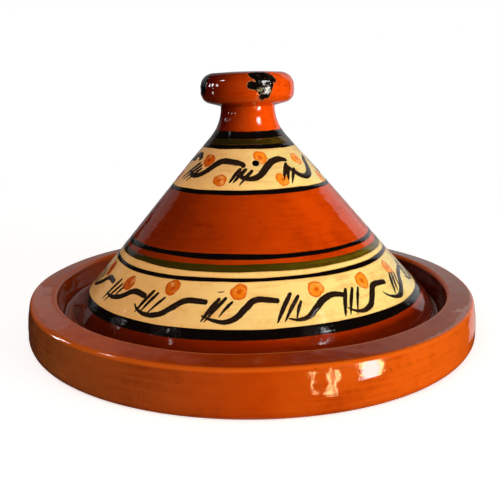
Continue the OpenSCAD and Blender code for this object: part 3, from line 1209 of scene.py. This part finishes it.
class TAGINE_OT_knob(bpy.types.Operator):
    """Builds the knob on the neck, with a black stain and a black patch on it."""

    bl_idname = "tagine.knob"
    bl_label = "Build the knob"

    # Each stain's finish and its outline: degrees round the knob, and millimetres up its outside from
    # its widest level.
    STAINS = {
        "knob_stain": ("stain_glaze", (
            (0.2, 13.0), (6, 14.9), (13, 15.4), (19.6, 15.3), (26.8, 14.6), (31, 12.6), (35.5, 10.3),
            (38, 7.5), (36.6, 5.0), (32.9, 5.6), (33.6, 3.6), (31.6, 2.2), (30.2, 0.0), (27.9, -2.6),
            (26.8, -4.8), (22.3, -4.4), (19.4, -6.1), (16.9, -5.6), (14, -3.8), (10.5, -4.7), (11, -3.3),
            (14, -2.0), (11.8, 0.3), (8.5, 1.3), (1.9, 2.0), (-0.9, 4.0), (1.0, 6.7), (5.7, 7.7),
            (9.4, 6.7), (8, 8.0), (3.5, 9.5),
        )),
        # A black patch on the knob's left side, at its edge.
        "knob_side_stain": ("black_slip", (
            (-90, 11.6), (-78, 13.4), (-69, 12.6), (-62, 13.0), (-56.5, 11.2), (-58, 9.0), (-55, 7.4),
            (-57.5, 5.2), (-57, 2.5), (-61, 0.4), (-66, -1.4), (-74, -0.6), (-80, -2.4), (-87, 0.0),
            (-91, 4.5), (-88, 8.6),
        )),
    }

    def execute(self, context):
        knob_side = KnobSide()
        turns = lap(KNOB_COLUMNS)
        outline = knob_side.outline
        radii, heights = knob_side.uneven(turns[None, :], outline[:, :1], outline[:, 1:])
        shape = Shape()
        marks = {"bend": bend_of(outline), "edge": np.full(len(outline), FAR)}
        lathe(shape, turns, radii, heights, knob_side.side.lean, [0] * len(outline), marks)
        knob = shape.build("knob", ("knob_red_glaze",))
        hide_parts("lid_knob")
        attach(knob, "lid")
        for name, (finish_name, corners) in self.STAINS.items():
            stain = self.stain(knob_side, corners).build(name, (finish_name,))
            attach(stain, "lid")
        return {"FINISHED"}

    @staticmethod
    def stain(knob_side, outline):
        """A skin of black glaze laid on the knob inside a ragged outline."""
        draw = random.Random(61)
        scale = math.radians(1) * knob_side.wide
        corners = [np.array([turn * scale, up]) for turn, up in outline]
        edge = []
        for a, b in zip(corners, corners[1:] + corners[:1]):
            gap = np.linalg.norm(b - a)
            across = np.array([b[1] - a[1], a[0] - b[0]]) / gap
            parts = max(2, math.ceil(gap / STAIN_STEP))
            for k in range(parts):
                edge.append(a + (b - a) * k / parts + across * draw.uniform(-STAIN_RAGGED, STAIN_RAGGED))
        edge = np.array(edge)
        low, high = edge.min(0), edge.max(0)
        grid = [
            (x + draw.uniform(-GRID_PLAY, GRID_PLAY), y + draw.uniform(-GRID_PLAY, GRID_PLAY))
            for x in np.arange(low[0], high[0], STAIN_GRID)
            for y in np.arange(low[1], high[1], STAIN_GRID)
        ]
        spots = [Vector(p) for p in edge.tolist()] + [Vector(p) for p in grid]
        found = geometry.delaunay_2d_cdt(spots, [], [list(range(len(edge)))], 1, 1e-5)
        flat, faces = np.array([tuple(v) for v in found[0]]), [tuple(f) for f in found[2]]
        used = sorted({i for f in faces for i in f})
        number_of = {old: new for new, old in enumerate(used)}
        flat = flat[used]
        faces = [tuple(number_of[i] for i in f) for f in faces]
        a, b = edge, np.roll(edge, -1, 0)
        ab = b - a
        share = ((flat[:, None] - a) * ab).sum(2) / np.maximum((ab ** 2).sum(1), 1e-9)
        nearest = a + np.clip(share, 0, 1)[..., None] * ab
        gap = np.linalg.norm(flat[:, None] - nearest, axis=2).min(1)
        turn, up = flat[:, 0] / knob_side.wide, flat[:, 1]
        rough = np.array([draw.uniform(-STAIN_ROUGH, STAIN_ROUGH) for _ in gap])
        rise = (STAIN_RISE + rough) * from_to(gap, 0, 0.6) ** 0.6 - 0.02
        shape = Shape()
        shape.add(knob_side.at(turn, up, rise), lay_of(turn, up), edge=gap)
        under = shape.add(knob_side.at(turn, up, -STAIN_SUNK), lay_of(turn, up), edge=gap)
        sides = {}
        for f in faces:
            shape.face(f)
            shape.face(tuple(under + i for i in reversed(f)))
            sides.update(dict.fromkeys(zip(f, f[1:] + f[:1])))
        for p, q in sides:
            if (q, p) not in sides:
                shape.face((q, p, under + p, under + q))
        return shape


# ---------------------------------------------------------------- brushwork


PATH_SPACING = 0.45
DEGREE_REACH, SLOPE_REACH = 1.5, 1.33     # millimetres on the lid to a degree and to one of height


def smooth_path(points):
    """A smooth line through given (turn in degrees, height) points, as turns and heights."""
    points = np.array(points, float)
    ends = np.concatenate([[2 * points[0] - points[1]], points, [2 * points[-1] - points[-2]]])
    out = []
    for k in range(1, len(ends) - 2):
        p0, p1, p2, p3 = ends[k - 1: k + 3]
        reach = math.hypot((p2[0] - p1[0]) * DEGREE_REACH, (p2[1] - p1[1]) * SLOPE_REACH)
        steps = max(3, math.ceil(reach / PATH_SPACING))
        for t in np.arange(steps) / steps:
            out.append(0.5 * (2 * p1 + (p2 - p0) * t + (2 * p0 - 5 * p1 + 4 * p2 - p3) * t ** 2
                              + (3 * p1 - p0 - 3 * p2 + p3) * t ** 3))
    out.append(points[-1])
    out = np.array(out)
    return np.radians(out[:, 0]), out[:, 1]


# A stroke's section: shares of its half width, lifts off the lid, and distances from its edge.
STROKE_SHARES = np.array([-1.0, -0.72, -0.28, 0.28, 0.72, 1.0, 0.75, -0.75])
STROKE_LIFTS = np.array([-0.03, 0.08, 0.12, 0.12, 0.08, -0.03, -0.16, -0.16])
STROKE_EDGES = np.array([0.0, 0.5, 1.1, 1.1, 0.5, 0.0, 0.0, 0.0])


def brush_stroke(shape, side, points, widths, draw):
    """Lays one painted stroke on the lid. widths are (share of the way, width) pairs."""
    turn, z = smooth_path(points)
    across = turn * side.even_radius(z).mean()
    up = z / math.cos(side.half)
    step = np.stack([np.gradient(across), np.gradient(up)], 1)
    step /= np.maximum(np.linalg.norm(step, axis=1), 1e-9)[:, None]
    gaps = np.hypot(np.diff(across), np.diff(up))
    along = np.concatenate([[0], np.cumsum(gaps)])
    share = along / along[-1]
    width = np.interp(share, [w[0] for w in widths], [w[1] for w in widths])
    tip = np.minimum(along, along[-1] - along)
    blunt = np.clip(width / 2, 0.25, 1.2)
    width = width * np.sqrt(np.clip(1 - (1 - np.clip(tip / blunt, 0.02, 1)) ** 2, 0, 1))
    left = Rough(draw, (7.3, 0.05), (3.1, 0.05), (1.7, 0.035))
    right = Rough(draw, (6.1, 0.05), (2.7, 0.05), (1.5, 0.035))
    normal = np.stack([-step[:, 1], step[:, 0]], 1)
    count = len(STROKE_SHARES)
    for k in range(len(turn)):
        half = width[k] / 2
        ragged = np.where(STROKE_SHARES < 0, left(along[k]), right(along[k]))
        move = STROKE_SHARES * np.maximum(half + ragged * min(1, half), 0.03)
        new_turn, new_z = side.beside(turn[k], z[k], move * normal[k, 0], move * normal[k, 1])
        lift = side.slip_rise + STROKE_LIFTS * np.clip(half / 0.5, 0.35, 1)
        edge = STROKE_EDGES * min(1.6, half)
        here = shape.add(side.at(new_turn, new_z, lift), lay_of(new_turn, new_z), edge=edge)
        if k == 0:
            shape.cap(here, count)
        else:
            shape.sleeve(here - count, here, count)
    shape.cap(here, count, turned=True)


VENT_CLEAR, NO_LIMIT = 0.25, 99.0


def vent_gap(side, turn, z, ways):
    """How far a dab at this place may reach each way before it would run into the steam vent."""
    s = settings("lid")
    slope = 1 / math.cos(side.half)
    vent_x = (s.vent_turn - turn) * float(side.even_radius(z))
    vent_y = (mm(s.vent_height) - z) * slope
    keep = mm(s.vent_diameter) / 2 + VENT_CLEAR
    along = vent_x * np.cos(ways) + vent_y * np.sin(ways)
    off = vent_x ** 2 + vent_y ** 2 - along ** 2
    meets = (along > 0) & (off < keep ** 2)
    return np.where(meets, along - np.sqrt(np.maximum(keep ** 2 - off, 0)), NO_LIMIT)


DOT_SIDES = 32
DOT_RINGS = (1.0, 0.97, 0.88, 0.72, 0.52, 0.30, 0.12)
DOT_UNDERSIDE = 0.93


def painted_dot(shape, side, turn_degrees, z, size, draw):
    """Lays one round dab of colour on the lid."""
    turn = math.radians(turn_degrees)
    shrink = draw.uniform(1.04, 1.14)
    wobble = Rough(draw, (TAU / 2, 0.07), (TAU / 3, 0.05), (TAU / 5, 0.03), (TAU / 9, 0.02))
    ways = lap(DOT_SIDES)
    reach = np.minimum(size * (1 + wobble(ways)), vent_gap(side, turn, z, ways))
    heart_x, heart_y = draw.uniform(-0.10, 0.10) * size, draw.uniform(-0.12, 0.08) * size
    previous = None
    for share in (DOT_UNDERSIDE, *DOT_RINGS):
        under = previous is None
        lift = -0.15 if under else side.slip_rise + 0.085 * (1 - share ** 6) - 0.025 * share ** 8
        pull = 1 - share
        x = reach * share * np.cos(ways) + heart_x * pull
        y = reach * share * np.sin(ways) * shrink + heart_y * pull
        new_turn, new_z = side.beside(turn, z, x, y)
        here = shape.add(side.at(new_turn, new_z, lift), lay_of(new_turn, new_z), run=share)
        if under:
            shape.cap(here, DOT_SIDES, turned=True)
        else:
            shape.sleeve(previous, here, DOT_SIDES)
        previous = here
    shape.cap(previous, DOT_SIDES)


# Curling strokes of the lower band. Each has the turn of its dot, the dot's height, the points of
# its curl and the two ends of its three hatches, as (degrees from the dot, height in millimetres).
LOWER_MOTIFS = (
    (-73.0, 50.9,
     ((-12, 40.5), (-8, 38.2), (-4.5, 39.4), (1.3, 43.3), (4.2, 46.3), (7, 47.6), (12.7, 46.9)),
     ((-7, 50.0), (-11.5, 37.4)), ((-4, 48.6), (-9, 37.0)), ((-2, 47.2), (-5.5, 38.6))),
    (-50.3, 49.6,
     ((-10.5, 41.2), (-7, 40.5), (-3, 41.1), (0.3, 42.8), (3.9, 46.0), (6.5, 46.8), (12, 45.7)),
     ((-6, 50.3), (-10.4, 37.4)), ((-3.5, 48.4), (-8.3, 36.8)), ((-1.6, 47.4), (-4.5, 39.0))),
    (-29.0, 52.0,
     ((-13, 41.3), (-10, 38.6), (-5.5, 37.5), (-1, 38.9), (2.5, 42.6), (7, 46.6), (14.5, 46.5)),
     ((-6.8, 49.6), (-11, 37.3)), ((-4.7, 48.8), (-9, 37.6)), ((-1.2, 47.2), (-6.6, 36.4))),
    (-4.3, 51.7,
     ((-11.6, 40.2), (-8.4, 38.6), (-4.2, 37.6), (-0.6, 39.6), (2.6, 44.4), (6, 47.9), (13.5, 46.8)),
     ((-6.2, 48.8), (-11.4, 37.2)), ((-4, 49.2), (-10.4, 37.0)), ((-1.8, 47.3), (-6, 39.6))),
    (22.7, 50.6,
     ((-11.7, 38.4), (-8.5, 37.4), (-5, 38.5), (-2, 41.8), (1.5, 45.3), (5.8, 46.8), (10.2, 45.4)),
     ((-9.3, 50.4), (-15.3, 36.5)), ((-6.7, 48.9), (-13, 36.8)), ((-6.3, 46.2), (-9.4, 36.5))),
    (43.4, 49.9,
     ((-12, 39.6), (-9.4, 37.2), (-6.2, 36.4), (-2.2, 38.2), (1.2, 42.8), (4.6, 46.3), (12.2, 45.5)),
     ((-9, 48.6), (-14, 35.6)), ((-6, 48.3), (-12, 35.8)), ((-3.4, 47.8), (-9.4, 35.3))),
    (64.2, 50.6,
     ((-14.3, 41.7), (-12.2, 38.8), (-8.4, 36.7), (-4.5, 37.0), (1, 40.8), (5.5, 44.4), (13.2, 46.2)),
     ((-1.7, 48.0), (-8, 38.0)), ((0.3, 47.6), (-5.4, 38.3)), ((2.0, 47.0), (-2.4, 38.3))),
)
# Curls of the upper band, in the same way, with a second dot below: its place comes last.
UPPER_MOTIFS = (
    (-43.0, 119.9,
     ((-19, 113.6), (-13, 111.3), (-6.5, 110.7), (0.3, 112.2), (6.5, 115.4), (12.5, 118.6), (20, 119.9),
      (36, 118.3), (38.5, 116.0)),
     ((-10, 118.4), (-25.5, 107.6)), ((-5.5, 117.4), (-20.5, 107.2)), ((-3.5, 115.4), (-14.5, 106.8)),
     (20.0, 108.9)),
    (11.9, 121.7,
     ((-22.4, 112.6), (-16, 110.4), (-8.5, 109.9), (-2.4, 111.8), (3.5, 115.6), (10, 118.7), (19, 120.2),
      (28.5, 119.2)),
     ((-18.6, 116.0), (-27, 107.3)), ((-13.6, 115.7), (-24.2, 107.4)), ((-8.5, 114.8), (-19.3, 106)),
     (14.6, 108.4)),
    (54.9, 119.1,
     ((-18, 116.0), (-14.2, 112.8), (-9, 109.7), (-3, 108.8), (4.3, 110.5), (9.8, 114.1), (14.6, 117.8),
      (21, 119.9)),
     ((-17.2, 117.8), (-27.5, 107.9)), ((-16.2, 115.9), (-23.7, 107.7)),
     ((-11.2, 114.4), (-21.7, 105.7)),
     (19.1, 106.5)),
)
LOWER_COUNT, UPPER_COUNT = 16, 7


def all_motifs(painted, count, draw, turn_play, height_play):
    """The painted motifs and, round the back, more of them in the same hand."""
    motifs = list(painted)
    spare = 360.0 - (painted[-1][0] - painted[0][0])
    missing = count - len(painted)
    for k in range(1, missing + 1):
        source = painted[draw.randrange(len(painted))]
        turn = painted[-1][0] + spare * k / (missing + 1)
        shifted = [turn, source[1] + draw.uniform(-0.7, 0.7)]
        for part in source[2:6]:
            shifted.append(tuple(
                (a + draw.uniform(-turn_play, turn_play), z + draw.uniform(-height_play, height_play))
                for a, z in part
            ))
        motifs.append((*shifted, *source[6:]))
    return motifs


def spaced(points, turn):
    """Moves a stroke's points from beside its dot to their turn round the lid."""
    return [(a + turn, z) for a, z in points]


def paint_curl(shape, side, draw, motif, band, bow):
    """Paints a motif's curl and its hatches, which bow to the left by `bow` degrees."""
    turn, _, curl, *hatches = motif[:6]
    brush_stroke(shape, side, spaced(curl, turn), band.CURL, draw)
    for (top, end), widths in zip(hatches, band.HATCHES):
        middle = ((top[0] + end[0]) / 2 - bow, (top[1] + end[1]) / 2)
        brush_stroke(shape, side, spaced((top, middle, end), turn), widths, draw)


class TAGINE_OT_lower_band(bpy.types.Operator):
    """Paints the curls, hatches and dots of the lower cream band."""

    bl_idname = "tagine.lower_band"
    bl_label = "Paint the lower band"

    CURL = ((0.0, 0.9), (0.12, 2.0), (0.35, 3.7), (0.6, 4.3), (0.85, 3.8), (1.0, 3.4))
    HATCHES = (
        ((0.0, 1.9), (0.25, 2.9), (0.6, 2.7), (0.85, 1.8), (1.0, 0.6)),
        ((0.0, 1.8), (0.3, 2.6), (0.6, 2.2), (0.85, 1.4), (1.0, 0.5)),
        ((0.0, 1.4), (0.3, 2.2), (0.6, 1.6), (0.85, 0.9), (1.0, 0.5)),
    )
    # A slip of the brush near the front, and its widths.
    FLICK = ((-11.8, 51.6), (-10.5, 51.5), (-9.3, 51.9))
    FLICK_WIDTHS = ((0, 0.5), (0.5, 0.8), (1, 0.5))

    def execute(self, context):
        side, draw = LidSide(), random.Random(71)
        strokes, dots = Shape(), Shape()
        for motif in all_motifs(LOWER_MOTIFS, LOWER_COUNT, draw, 0.5, 0.5):
            paint_curl(strokes, side, draw, motif, self, 0.35)
            painted_dot(dots, side, motif[0], motif[1], draw.uniform(4.7, 5.2), draw)
        brush_stroke(strokes, side, self.FLICK, self.FLICK_WIDTHS, draw)
        place_paint(strokes, "lower_strokes", "stroke_slip")
        place_paint(dots, "lower_dots", "dot_paint")
        return {"FINISHED"}


class TAGINE_OT_upper_band(bpy.types.Operator):
    """Paints the curls, hatches and dots of the upper cream band."""

    bl_idname = "tagine.upper_band"
    bl_label = "Paint the upper band"

    CURL = ((0.0, 1.6), (0.12, 3.5), (0.35, 4.5), (0.6, 4.9), (0.85, 4.5), (1.0, 2.8))
    HATCHES = (
        ((0.0, 2.2), (0.25, 2.9), (0.6, 2.5), (0.85, 1.7), (1.0, 0.6)),
        ((0.0, 2.2), (0.3, 2.9), (0.6, 2.4), (0.85, 1.6), (1.0, 0.5)),
        ((0.0, 2.0), (0.3, 2.7), (0.6, 2.0), (0.85, 1.2), (1.0, 0.5)),
    )
    # A lone hook on the left, and its widths.
    HOOK = ((-81, 118.4), (-72, 121.8), (-63, 122.4), (-56.5, 119.6))
    HOOK_WIDTHS = ((0, 2.8), (0.5, 4.8), (1, 3.6))

    def execute(self, context):
        side, draw = LidSide(), random.Random(72)
        strokes, dots = Shape(), Shape()
        for motif in all_motifs(UPPER_MOTIFS, UPPER_COUNT, draw, 0.8, 0.4):
            turn, dot_z, (low_turn, low_z) = motif[0], motif[1], motif[6]
            paint_curl(strokes, side, draw, motif, self, 0.8)
            painted_dot(dots, side, turn, dot_z, draw.uniform(4.3, 4.7), draw)
            painted_dot(dots, side, turn + low_turn, low_z, draw.uniform(4.3, 4.6), draw)
        brush_stroke(strokes, side, self.HOOK, self.HOOK_WIDTHS, draw)
        place_paint(strokes, "upper_strokes", "stroke_slip")
        place_paint(dots, "upper_dots", "dot_paint")
        return {"FINISHED"}


def place_paint(shape, name, finish_name):
    """Makes a painted piece that rides on the lid."""
    piece = shape.build(name, (finish_name,))
    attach(piece, "lid")


# ---------------------------------------------------------------- operators: stage


def toward(turn, rise, distance, target):
    """A place seen from the target at a turn and an elevation in degrees."""
    a, e = math.radians(turn), math.radians(rise)
    way = Vector((math.sin(a) * math.cos(e), -math.cos(a) * math.cos(e), math.sin(e)))
    return target + way * distance


SENSOR = 36                      # width in millimetres
LAMP_DISTANCE = 4.0
LAMP_TARGET = (0.0, 0.0, 0.08)
WHITE = (1.0, 1.0, 1.0, 1.0)


def area_lamp(name, turn, width, low, high, radiance, tint=(1, 1, 1), glossy=True,
              target=LAMP_TARGET, distance=LAMP_DISTANCE, spread=None):
    """A rectangular lamp that faces its target: its turn, its width and its lower and upper edge in
    degrees as the target sees them, and the brightness of its face. One with a spread, in degrees,
    only makes a highlight, close to its target."""
    lamp = bpy.data.lights.new(name, "AREA")
    lamp.shape = "RECTANGLE"
    lamp.size = 2 * distance * math.tan(math.radians(width / 2))
    lamp.size_y = 2 * distance * math.tan(math.radians((high - low) / 2))
    lamp.energy = math.pi * lamp.size * lamp.size_y * radiance
    lamp.color = tint
    if spread:
        lamp.spread = math.radians(spread)
        reach = math.tan(lamp.spread / 2)
        lamp.energy *= (reach - lamp.spread / 2) / reach
    holder = new_object(name, lamp)
    target = Vector(target)
    holder.location = toward(turn, (low + high) / 2, distance, target)
    holder.rotation_euler = (target - holder.location).to_track_quat("-Z", "Y").to_euler()
    holder.visible_camera = False
    holder.visible_glossy = glossy
    holder.visible_diffuse = spread is None


# Narrow panes beside the window, as (turn, width, low edge, high edge) in degrees.
SLATS = (
    (27.2, 1.1, -20, 0), (33.8, 1.4, -20.5, 6), (37.1, 1.6, -20.5, -3), (49.3, 1.8, -8, 8),
    (58.8, 2.4, -12, 6),
)
COOL, WARM, AMBER = (0.97, 0.97, 1.0), (1.0, 0.96, 0.90), (1.0, 0.78, 0.34)
# Small panes near one spot each, as (spot, turn, width, low edge, high edge, distance, spread,
# strength).
GLINTS = (
    ((0.006, -0.031, 0.171), 49, 26, 12, 44, 0.15, 26, 2.1),
    ((-0.020, -0.019, 0.171), -87, 16, 42, 52, 0.12, 10, 2.2),
    ((-0.024, -0.016, 0.166), -107, 6, 7, 15, 0.15, 14, 1.2),
    ((-0.023, -0.017, 0.166), -95, 6, 11, 19, 0.15, 14, 1.2),
    ((-0.022, -0.018, 0.166), -90, 6, -3, 1, 0.15, 14, 0.7),
    ((-0.020, -0.020, 0.167), -80, 6, 13, 19, 0.15, 14, 1.2),
    ((-0.014, -0.008, 0.148), -86, 6, 3, 9, 0.12, 5, 2.0),
    ((-0.013, -0.010, 0.147), -68, 8, 6, 12, 0.12, 5, 2.4),
    ((-0.011, -0.012, 0.146), -50, 6, 10, 14, 0.12, 5, 2.2),
    ((0.007, -0.017, 0.150), 50, 20, 0, 12, 0.12, 40, 0.38),
    ((-0.125, -0.085, 0.031), -105, 9, 2, 13, 0.20, 16, 2.0),
    ((-0.108, -0.104, 0.030), -108, 10, 16, 30, 0.15, 12, 2.0),
    ((-0.080, -0.128, 0.030), -97, 10, 38, 54, 0.12, 9, 2.6),
    ((-0.079, -0.079, 0.034), -109, 3, 30, 32, 0.15, 8, 0.6),
    ((-0.047, -0.101, 0.033), -76, 8, 51, 53, 0.15, 8, 0.6),
    ((0.040, -0.107, 0.030), 66, 9, 53, 58, 0.15, 22, 0.8),
)


class TAGINE_OT_stage(bpy.types.Operator):
    """Sets up the camera, the lamps, the world and the floor."""

    bl_idname = "tagine.stage"
    bl_label = "Set the stage"

    def execute(self, context):
        self.camera()
        self.lamps()
        self.world()
        self.floor()
        context.scene.view_settings.view_transform = "Standard"
        return {"FINISHED"}

    @staticmethod
    def camera():
        """The camera, which looks down at the front."""
        s = settings("studio")
        data = bpy.data.cameras.new("camera")
        data.lens, data.sensor_width, data.clip_start = s.lens, SENSOR, 0.01
        camera = new_object("camera", data)
        target = Vector((0, 0, s.target_height))
        place = toward(0, math.degrees(s.elevation), s.distance, target)
        look = (target - place).to_track_quat("-Z", "Y").to_matrix().to_4x4()
        look = look @ Matrix.Rotation(s.roll, 4, "Z")
        look = look @ Matrix.Rotation(s.turn_left, 4, "Y") @ Matrix.Rotation(-s.tilt_down, 4, "X")
        camera.matrix_world = Matrix.Translation(place) @ look
        bpy.context.scene.camera = camera

    @staticmethod
    def lamps():
        """A window and narrow panes on the right, small panes on the left, two cards behind, and a
        soft key and fill that reflections don't show."""
        s = settings("studio")
        area_lamp("window", 53.7, 7.2, -13, 8, s.window, COOL)
        for k, pane in enumerate(SLATS):
            area_lamp(f"slat_{k}", *pane, s.slats, AMBER)
        area_lamp("back_card", 143, 23, -20, 38, s.card)
        area_lamp("dim_back_card", -144, 26, 7, 26, s.dim_card)
        for k, (spot, *pane, distance, spread, strength) in enumerate(GLINTS):
            near = {"target": spot, "distance": distance, "spread": spread}
            area_lamp(f"glint_{k}", *pane, s.glints * strength, COOL, **near)
        area_lamp("key", 58, 40, 0, 9, s.key, WARM, glossy=False)
        area_lamp("fill", -30, 60, 0, 20, s.fill, (1.0, 0.92, 0.84), glossy=False)
        area_lamp("high_fill", -15, 56, 28, 62, s.high_fill, (1.0, 0.93, 0.86), glossy=False)

    @staticmethod
    def world():
        """White behind everything, dimmer overhead in reflections, and a low light all round."""
        s = settings("studio")
        world = bpy.data.worlds.new("studio")
        bpy.context.scene.world = world
        g = Graph(world)
        camera, glossy, through = (g.ray(kind) for kind in ("Camera", "Glossy", "Transmission"))
        place = g.coordinate("Generated")
        across, behind, height = (g.part(place, axis) for axis in "XYZ")
        span = g.ease(behind - abs(across) * 2.1, 0.0, 0.12)
        span = span * g.ease(height, 0.65, 0.55)
        backdrop = span * g.ease(across, -0.15, 0.30, s.back_left, s.back_right)
        seen = glossy.most(through)
        around = g.ease(height, 0.0, 1.0, 1.2 * s.ambient, 0.5 * s.ambient)
        strength = camera + (1 - camera) * (seen * backdrop.most(s.room) + (1 - seen) * around)
        shader = g.add("ShaderNodeBackground", {}, {"Color": WHITE, "Strength": strength})
        g.add("ShaderNodeOutputWorld", {}, {"Surface": shader})

    @staticmethod
    def floor():
        """A plain white round floor that fades into the white behind it and keeps the pot's shadow."""
        radii, count = (0.2, 0.4, 0.8, 1.6, 3.2), 96
        ways = [TAU * k / count for k in range(count)]
        points = [(0.0, 0.0, 0.0)]
        for radius in radii:
            points += [(radius * math.cos(way), radius * math.sin(way), 0) for way in ways]
        faces = []
        for k in range(count):
            after = (k + 1) % count
            faces.append((0, 1 + k, 1 + after))
            for start in range(1, 1 + count * (len(radii) - 1), count):
                a, b = start + k, start + after
                faces.append((a, a + count, b + count, b))
        mesh = bpy.data.meshes.new("floor")
        mesh.from_pydata(points, [], faces)
        material = bpy.data.materials.new("white_floor")
        g = Graph(material)
        place = g.coordinate()
        fade = g.ease(g.vector("LENGTH", place, output="Value"), 0.20, 0.75)
        camera = g.ray("Camera")
        grain = g.noise(place, 90.0, 3.0)
        cloth = g.mix(grain, (0.90, 0.90, 0.90, 1), (0.94, 0.94, 0.94, 1))
        matt = g.add("ShaderNodeBsdfPrincipled", {}, {"Base Color": cloth, "Roughness": 0.9, "IOR": 1.2})
        lift = g.add("ShaderNodeEmission", {}, {"Strength": camera * settings("studio").floor_lift})
        near = g.add("ShaderNodeAddShader", {}, {0: matt, 1: lift})
        white = g.add("ShaderNodeEmission", {}, {"Color": WHITE, "Strength": 1.0})
        shader = g.add("ShaderNodeMixShader", {}, {0: fade * camera, 1: near, 2: white})
        g.add("ShaderNodeOutputMaterial", {}, {"Surface": shader})
        mesh.materials.append(material)
        floor = new_object("floor", mesh)
        floor.visible_glossy = False
        return floor


# ---------------------------------------------------------------- panel and run


class TAGINE_PT_panel(bpy.types.Panel):
    """Lists the steps that build the pot."""

    bl_idname = "TAGINE_PT_panel"
    bl_label = "Tagine pot"
    bl_space_type = "VIEW_3D"
    bl_region_type = "UI"
    bl_category = "Tagine"

    def draw(self, context):
        for step in STEPS:
            self.layout.operator(step.bl_idname)


STEPS = (
    TAGINE_OT_stage, TAGINE_OT_dish, TAGINE_OT_lid, TAGINE_OT_knob, TAGINE_OT_lower_band,
    TAGINE_OT_upper_band,
)


def register():
    """Registers the settings, the steps and the panel."""
    for name, group in SETTINGS:
        bpy.utils.register_class(group)
        setattr(bpy.types.Scene, name, bpy.props.PointerProperty(type=group))
    for step in STEPS:
        bpy.utils.register_class(step)
    bpy.utils.register_class(TAGINE_PT_panel)


def unregister():
    """Takes away what register added."""
    bpy.utils.unregister_class(TAGINE_PT_panel)
    for step in reversed(STEPS):
        bpy.utils.unregister_class(step)
    for name, group in reversed(SETTINGS):
        delattr(bpy.types.Scene, name)
        bpy.utils.unregister_class(group)


def main():
    """Builds everything in order."""
    register()
    bpy.ops.tagine.stage()
    bpy.ops.tagine.dish()
    bpy.ops.tagine.lid()
    bpy.ops.tagine.knob()
    bpy.ops.tagine.lower_band()
    bpy.ops.tagine.upper_band()
    bpy.context.view_layer.update()


if __name__ == "__main__":
    main()
